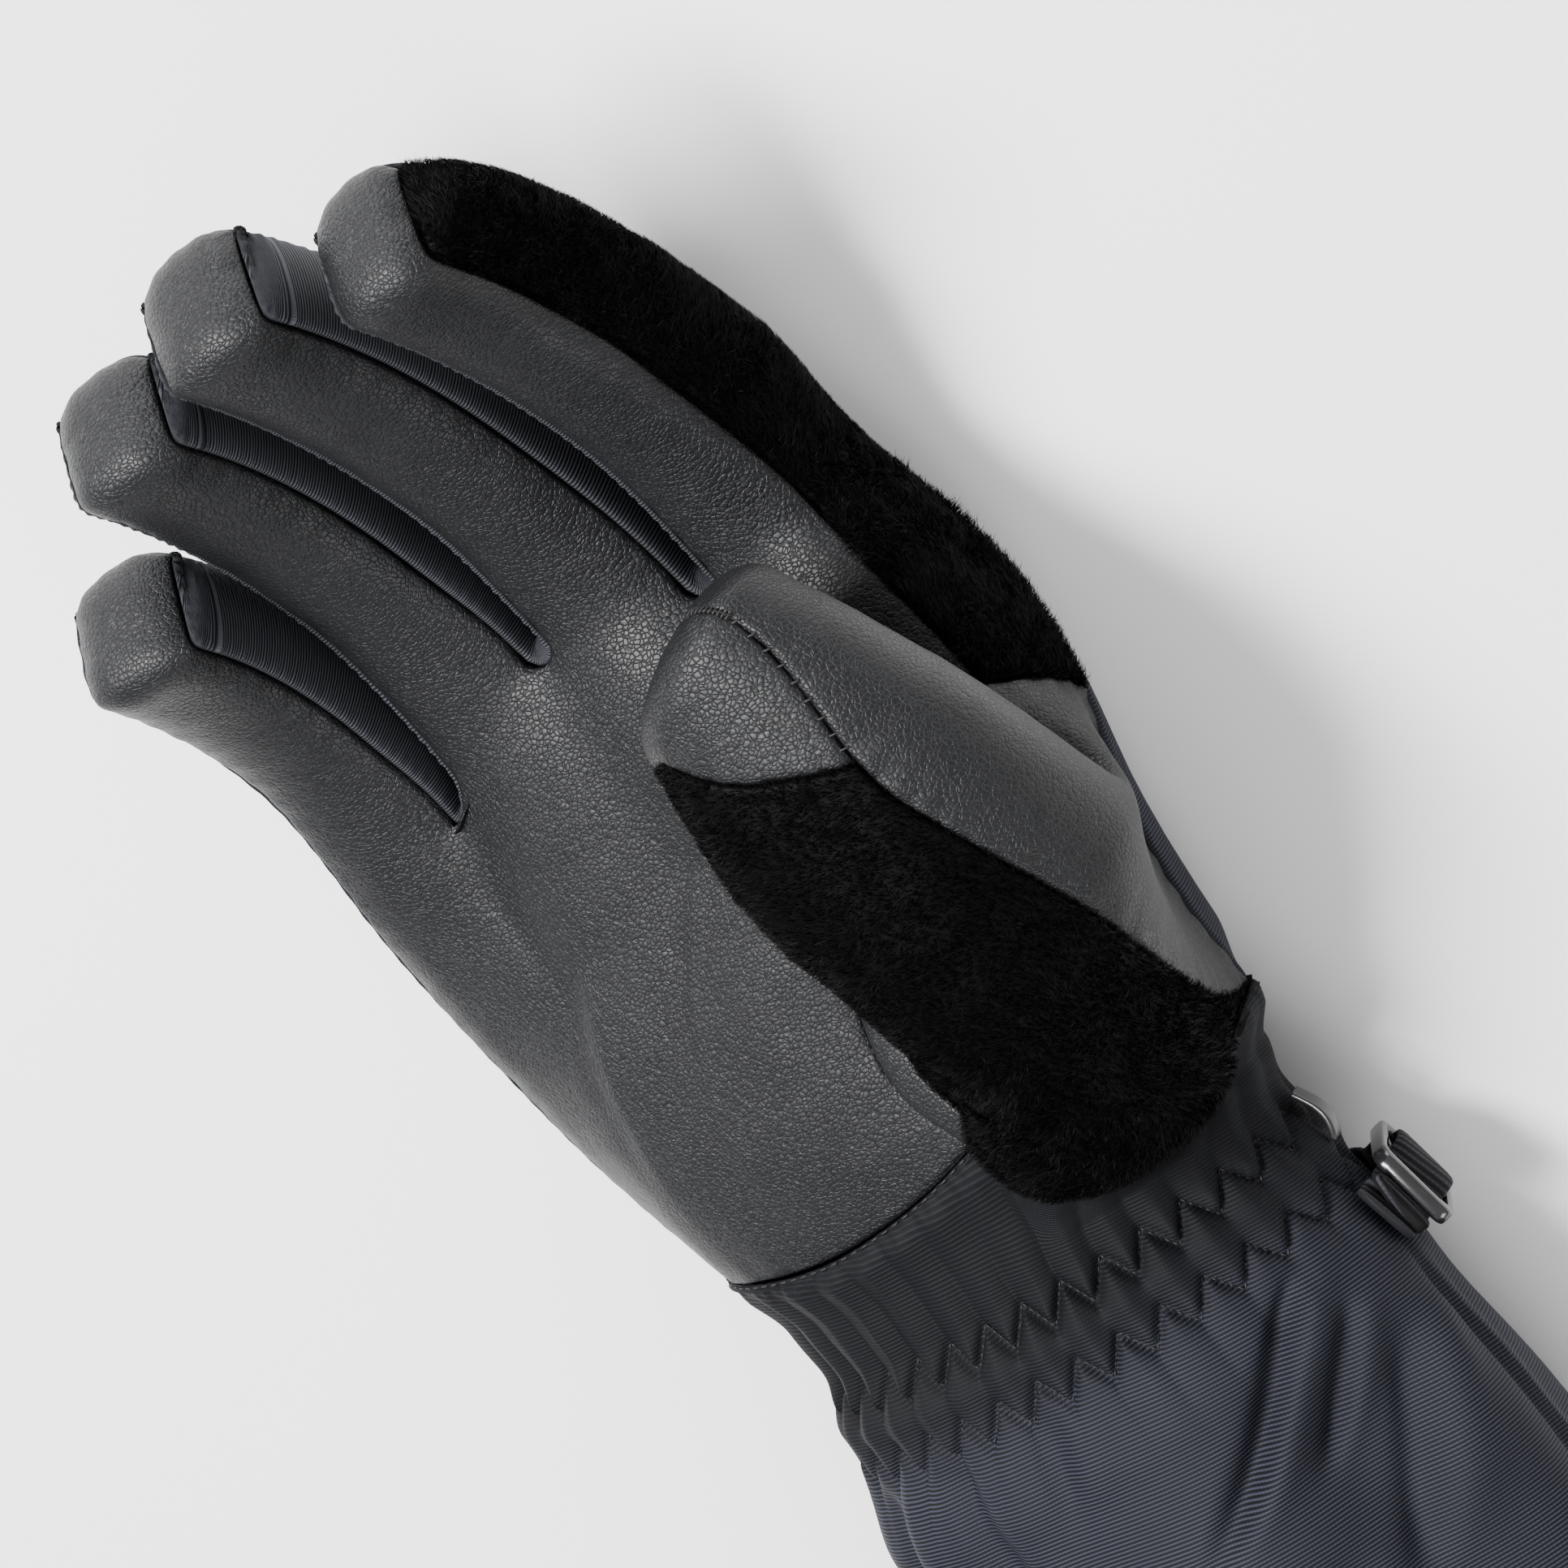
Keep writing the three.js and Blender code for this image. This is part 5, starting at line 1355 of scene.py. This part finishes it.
class GLOVE_OT_wrist(bpy.types.Operator):
    """Gathered elastic wrist, long cuff and its hem"""

    bl_idname = "glove.wrist"
    bl_label = "Wrist and cuff"

    def execute(self, context):
        depth = sizes().gather
        fine, end = 44.0, WRIST_SPAN + CUFF_LENGTH
        down = np.concatenate([fine * marks(fine, 0.68, end=False)[:-1],
                               fine + (end - fine) * marks(end - fine, 1.35, start=False)])
        sheet = band_sheet(down, depth)
        upper = roll_edges(sheet, 0.5, pucker=0.3, pitch=2.9, reach=1.8, seed=40,
                           only=lambda middle: middle[:, 1] > WRIST_TOP - 12)
        lower = roll_edges(sheet, 0.9, only=lambda middle: middle[:, 1] < WRIST_TOP - WRIST_SPAN - 20)
        keep_above_floor(sheet)
        # Painted shade on the gathered wrist: 1 there, fading to 0 over the top of the cuff.
        gathered = 1 - smooth((WRIST_TOP - sheet.p[:, 1] - WRIST_SPAN + 4) / 16)
        put_shell("wrist_and_cuff", sheet, SIDE_WALL, {"seam": np.minimum(upper, lower), "gather": gathered},
                  ["wrist_band", "cuff"], twill())
        sheet = band_sheet(end + HEM_DEPTH * marks(HEM_DEPTH, 1.1), depth)
        near = roll_edges(sheet, 1.2)
        keep_above_floor(sheet)
        put_shell("cuff_edge", sheet, HEM_WALL, {"seam": near}, ["cuff_hem"], twill())
        return {"FINISHED"}


def thread_paths(place, runs, length, lift):
    """Short stitches along a line: four points each, dipping into the cloth at both ends."""
    t = runs[:, None] + length * np.array([-0.5, -0.25, 0.25, 0.5])
    return place(t, lift * np.array([-0.35, 0.8, 0.8, -0.35]) + 0 * t)


def zigzag_place(row, reach, depth):
    """Reader of places on a zigzag row of the elastic wrist, by the run round it and a height over it."""
    def place(run, height):
        angle = np.interp(np.mod(run, ROUND_LENGTH[-1]), ROUND_LENGTH, ROUND_ANGLE)
        down = row + reach * zigzag(run)
        return band_point(seam_place(angle), down, cloth_out(angle, down, depth) + height)
    return place


def wrist_seam_place(depth):
    """Reader of places on the palm's part of the wrist seam, by its share and a height over it."""
    def place(share, height):
        m = HAND_CELLS * share
        angle = ring_direction(seam_loop(m))
        down = np.ones_like(share)
        return band_point(m, down, cloth_out(angle, down, depth)) + UP * (height - 0.15)[..., None]
    return place


def across_thumb(w, j, reach):
    """Stitches across a thumb seam: from cloth to cloth over the groove, dipping in at both ends."""
    def normal(w, j):
        along = thumb_point(w + 0.02, j) - thumb_point(w - 0.02, j)
        around = thumb_point(w, j + 0.05) - thumb_point(w, j - 0.05)
        n = unit(np.cross(along, around))
        middle = thumb_point(w, np.mod(j + THUMB_CELLS / 2, THUMB_CELLS))
        return n * np.sign(((thumb_point(w, j) - middle) * n).sum(-1, keepdims=True))
    lift = np.array([-0.8, -0.1, -0.15, -0.1, -0.8])
    w = np.broadcast_to(w[:, None], (len(w), len(lift)))
    j = j + reach * np.array([-1, -0.5, 0, 0.5, 1]) + 0 * w
    return thumb_point(w, j) + normal(w, j) * lift[None, :, None]


def put_threads(name, paths, look):
    points, faces = tubes(paths, sizes().thread / 2)
    piece = put_mesh(name, points, faces, look)
    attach(piece, "root")


class GLOVE_OT_stitches(bpy.types.Operator):
    """Zigzag rows of the elastic wrist, and the stitches of the wrist seam and the thumb's tip"""

    bl_idname = "glove.stitches"
    bl_label = "Stitches"

    def execute(self, context):
        look = plain_look("thread_look", colours().thread, 0.6)
        depth = sizes().gather
        per_zig, on_seam = 10, 30
        runs = FIRST_PEAK + ZIG_PITCH * (np.arange(ZIGS * per_zig) + 0.5) / per_zig
        rows = [thread_paths(zigzag_place(row, reach, depth), runs, ZIG_PITCH / per_zig * 0.86, 0.42)
                for row, reach in ((UPPER_ROW, -ZIG_REACH), (LOWER_ROW, ZIG_REACH))]
        put_threads("elastic_zigzag", np.concatenate(rows), look)
        share = (np.arange(on_seam) + 0.5) / on_seam
        put_threads("wrist_seam_stitches", thread_paths(wrist_seam_place(depth), share, 0.75 / on_seam, 0.5), look)
        crossing = across_thumb(np.linspace(1.86, 2.72, 19), LEATHER_CELLS, 0.22)
        put_threads("thumb_seam_stitches", crossing, look)
        return {"FINISHED"}


def put_trim(name, parts, node, look, cloth=None):
    """Hard or woven trim from closed surfaces given as points and faces."""
    starts = np.cumsum([0] + [len(points) for points, _ in parts])
    faces = np.vstack([faces + start for (_, faces), start in zip(parts, starts)])
    piece = put_mesh(name, np.vstack([points for points, _ in parts]), faces, look, cloth)
    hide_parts(node)
    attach(piece, "root")
    return piece


STRAP_DOWN = WRIST_SPAN + STRAP_OFFSET
STRAP_SEAT = SEAM_GAP + STRAP_THICK / 2


def buckle_place():
    """The direction across the strap, and a reader of places on the buckle.

    The places are read along the strap, across it, and out from the cuff."""
    half = STRAP_WIDTH / 2
    over = lambda degrees, down: over_ring(CUFF_RINGS, degrees, down, STRAP_SEAT)
    ends = over(BUCKLE_ANGLE, np.array([STRAP_DOWN - half, STRAP_DOWN + half]))
    run = unit(ends[1] - ends[0])
    around = unit(over(BUCKLE_ANGLE + 5, STRAP_DOWN) - over(BUCKLE_ANGLE - 5, STRAP_DOWN))
    out = unit(np.cross(around, run))
    centre = (ends[0] + ends[1]) / 2

    def place(u, w, r):
        u, w, r = (np.asarray(x)[..., None] for x in (u, w, r))
        return centre + u * around + w * run + r * out
    return run, place


class GLOVE_OT_buckle(bpy.types.Operator):
    """Strap over the thumb side of the cuff, its two-slot buckle and the small loop"""

    bl_idname = "glove.buckle"
    bl_label = "Strap and buckle"

    def execute(self, context):
        run, place = buckle_place()
        low = STRAP_THICK / 2 + STRAP_CLEAR
        high = low + BUCKLE_THICK
        half_x, half_y, slot_y = BUCKLE_LENGTH / 2, BUCKLE_WIDTH / 2, STRAP_WIDTH / 2 + STRAP_CLEAR
        inner, outer = round_corners(half_x - BUCKLE_BAR, slot_y, 1.0), round_corners(half_x, half_y, 2.6)
        rim_points, rim_faces = hoop(inner, outer, low, high)
        w = np.linspace(-slot_y - 0.8, slot_y + 0.8, 25)
        bar = np.stack([0 * w, w, (low + high) / 2 + 0.5 * np.cos(w / slot_y * 1.4)], -1)
        bar_points, bar_faces, _ = ribbon(bar, np.array([1.0, 0, 0]) + 0 * bar, BUCKLE_BAR + 0.7, BUCKLE_THICK * 0.8)
        parts = [(place(*rim_points.T), rim_faces), (place(*bar_points.T), bar_faces[:, ::-1])]
        gloss = plain_look("buckle_look", colours().buckle, 0.14, 0.1, 0.5)
        put_trim("buckle_frame", parts, "strap_buckle", gloss)
        over = high + STRAP_CLEAR + STRAP_THICK / 2
        start, edge = half_x - BUCKLE_BAR - 2 * STRAP_CLEAR, BUCKLE_BAR / 2 + 2 * STRAP_CLEAR
        threaded = [(-half_x - 1, 0), (-start, 0), (-edge, over), (edge, over), (start, 0), (half_x + 1, 0)]
        through = np.array([place(u, 0.0, r) for u, r in threaded])
        before, after = np.linspace(STRAP_LOW, BUCKLE_ANGLE - 16, 4), np.linspace(BUCKLE_ANGLE + 16, STRAP_HIGH, 3)
        on_cuff = [over_ring(CUFF_RINGS, degrees, STRAP_DOWN, STRAP_SEAT) for degrees in (before, after)]
        line = spline(np.vstack([on_cuff[0], through, on_cuff[1]]))(np.linspace(0, 1, 90))
        points, faces, cloth = ribbon(line, run + 0 * line, STRAP_WIDTH, STRAP_THICK)
        webbing = twill_look("webbing_look", colours().thread, 1.1, math.radians(90))
        strap = put_trim("webbing_strap", [(points, faces)], "wrist_strap", webbing, cloth)
        from_seam = strap.data.attributes.new("seam", "FLOAT", "POINT")
        from_seam.data.foreach_set("value", np.full(len(strap.data.vertices), 5.0, np.float32))
        t = np.linspace(0, 1, 31)
        loop = over_ring(WRIST_RINGS, LOOP_ANGLE, LOOP_FROM + LOOP_LENGTH * t, LOOP_THICK / 2 - 0.1 * GATHER)
        loop[:, 0] += LOOP_RISE * np.sin(np.pi * t)
        points, faces, _ = ribbon(loop, UP + 0 * loop, LOOP_WIDTH, LOOP_THICK)
        cord = plain_look("loop_look", colours().buckle, 0.3, 0.0, 0.3)
        put_trim("elastic_loop", [(points, faces)], "wrist_loop", cord)
        return {"FINISHED"}


# Camera and stage
TILT = np.array([0.50, 0.13, 0.0])
TILT[2] = math.sqrt(1 - (TILT ** 2).sum())
HAND_ON_PICTURE = np.array([-0.604, 0.797])
CAMERA_DISTANCE, MM_PER_PIXEL, PICTURE, SENSOR = 1000.0, 0.122, 1932, 36.0
CAMERA_TARGET = np.array([10.0, 60.0, 40.0])


def camera_axes():
    """Right and up of the picture: the hand's direction, seen square to the view, lies as it does there."""
    ahead = np.array([0, 1.0, 0])
    ahead = unit(ahead - (ahead @ TILT) * TILT)
    across = np.cross(ahead, TILT)
    h = HAND_ON_PICTURE / np.linalg.norm(HAND_ON_PICTURE)
    return across * h[1] + ahead * h[0], ahead * h[1] - across * h[0]


def area_light(name, place, target, size, power):
    data = bpy.data.lights.new(name, "AREA")
    data.shape = "RECTANGLE"
    data.size, data.size_y = size
    data.energy = power
    light = bpy.data.objects.new(name, data)
    light.location = place
    light.rotation_euler = (Vector(target) - Vector(place)).to_track_quat("-Z", "Y").to_euler()
    bpy.context.scene.collection.objects.link(light)


class GLOVE_OT_stage(bpy.types.Operator):
    """Pale floor, soft studio light and the camera at the picture's angle"""

    bl_idname = "glove.stage"
    bl_label = "Stage"

    def execute(self, context):
        mesh = bpy.data.meshes.new("floor")
        reach, level = 3.0, -0.0003
        corners = [(x * reach, y * reach, level) for x, y in ((-1, -1), (1, -1), (1, 1), (-1, 1))]
        mesh.from_pydata(corners, [], [(0, 1, 2, 3)])
        floor = bpy.data.objects.new("floor", mesh)
        context.scene.collection.objects.link(floor)
        look = Look("floor_look")
        mesh.materials.append(look.finish(tone((0.95, 0.95, 0.95)), 0.9, Specular_IOR_Level=0.2))
        world = bpy.data.worlds.new("studio")
        world.use_nodes = True
        world.node_tree.nodes["Background"].inputs["Color"].default_value = (1, 1, 1, 1)
        world.node_tree.nodes["Background"].inputs["Strength"].default_value = 0.7
        context.scene.world = world
        right, up = camera_axes()
        target = (CAMERA_TARGET + ORIGIN) * MM
        eye = target + TILT * CAMERA_DISTANCE * MM
        side = lambda x, y, z: target + right * x + up * y + TILT * z
        area_light("key", side(-0.9, -0.2, 0.8), target, (0.3, 0.8), 50.0)
        area_light("top", side(-0.6, 0.8, 0.35), target, (0.6, 0.3), 7.0)
        area_light("low", side(0.6, -0.8, 0.6), target, (0.5, 0.5), 7.0)
        camera = bpy.data.objects.new("camera", bpy.data.cameras.new("camera"))
        camera.data.sensor_width = SENSOR
        camera.data.sensor_fit = "HORIZONTAL"
        camera.data.lens = SENSOR * (CAMERA_DISTANCE / MM_PER_PIXEL) / PICTURE
        camera.data.clip_start, camera.data.clip_end = 0.05, 20.0
        turn = Matrix([list(right), list(up), list(TILT)]).transposed().to_4x4()
        camera.matrix_world = Matrix.Translation(Vector(eye)) @ turn
        context.scene.collection.objects.link(camera)
        context.scene.camera = camera
        return {"FINISHED"}


class GLOVE_PT_panel(bpy.types.Panel):
    """Sizes, colours and steps of the glove"""

    bl_idname = "GLOVE_PT_panel"
    bl_label = "Glove"
    bl_space_type = "VIEW_3D"
    bl_region_type = "UI"
    bl_category = "Glove"

    def draw(self, context):
        for group in (context.scene.glove_sizes, context.scene.glove_colours):
            for key in group.__annotations__:
                self.layout.prop(group, key)
        for step in STEPS:
            self.layout.operator(step.bl_idname)


STEPS = (GLOVE_OT_palm, GLOVE_OT_back, GLOVE_OT_sides, GLOVE_OT_index_fur, GLOVE_OT_thumb, GLOVE_OT_wrist,
         GLOVE_OT_stitches, GLOVE_OT_buckle, GLOVE_OT_stage)
CLASSES = (GloveSizes, GloveColours) + STEPS + (GLOVE_PT_panel,)


def register():
    for entry in CLASSES:
        bpy.utils.register_class(entry)
    bpy.types.Scene.glove_sizes = PointerProperty(type=GloveSizes)
    bpy.types.Scene.glove_colours = PointerProperty(type=GloveColours)


def unregister():
    del bpy.types.Scene.glove_colours
    del bpy.types.Scene.glove_sizes
    for entry in reversed(CLASSES):
        bpy.utils.unregister_class(entry)


def main():
    register()
    bpy.ops.glove.stage()
    bpy.ops.glove.palm()
    bpy.ops.glove.back()
    bpy.ops.glove.sides()
    bpy.ops.glove.index_fur()
    bpy.ops.glove.thumb()
    bpy.ops.glove.wrist()
    bpy.ops.glove.stitches()
    bpy.ops.glove.buckle()


if __name__ == "__main__":
    main()
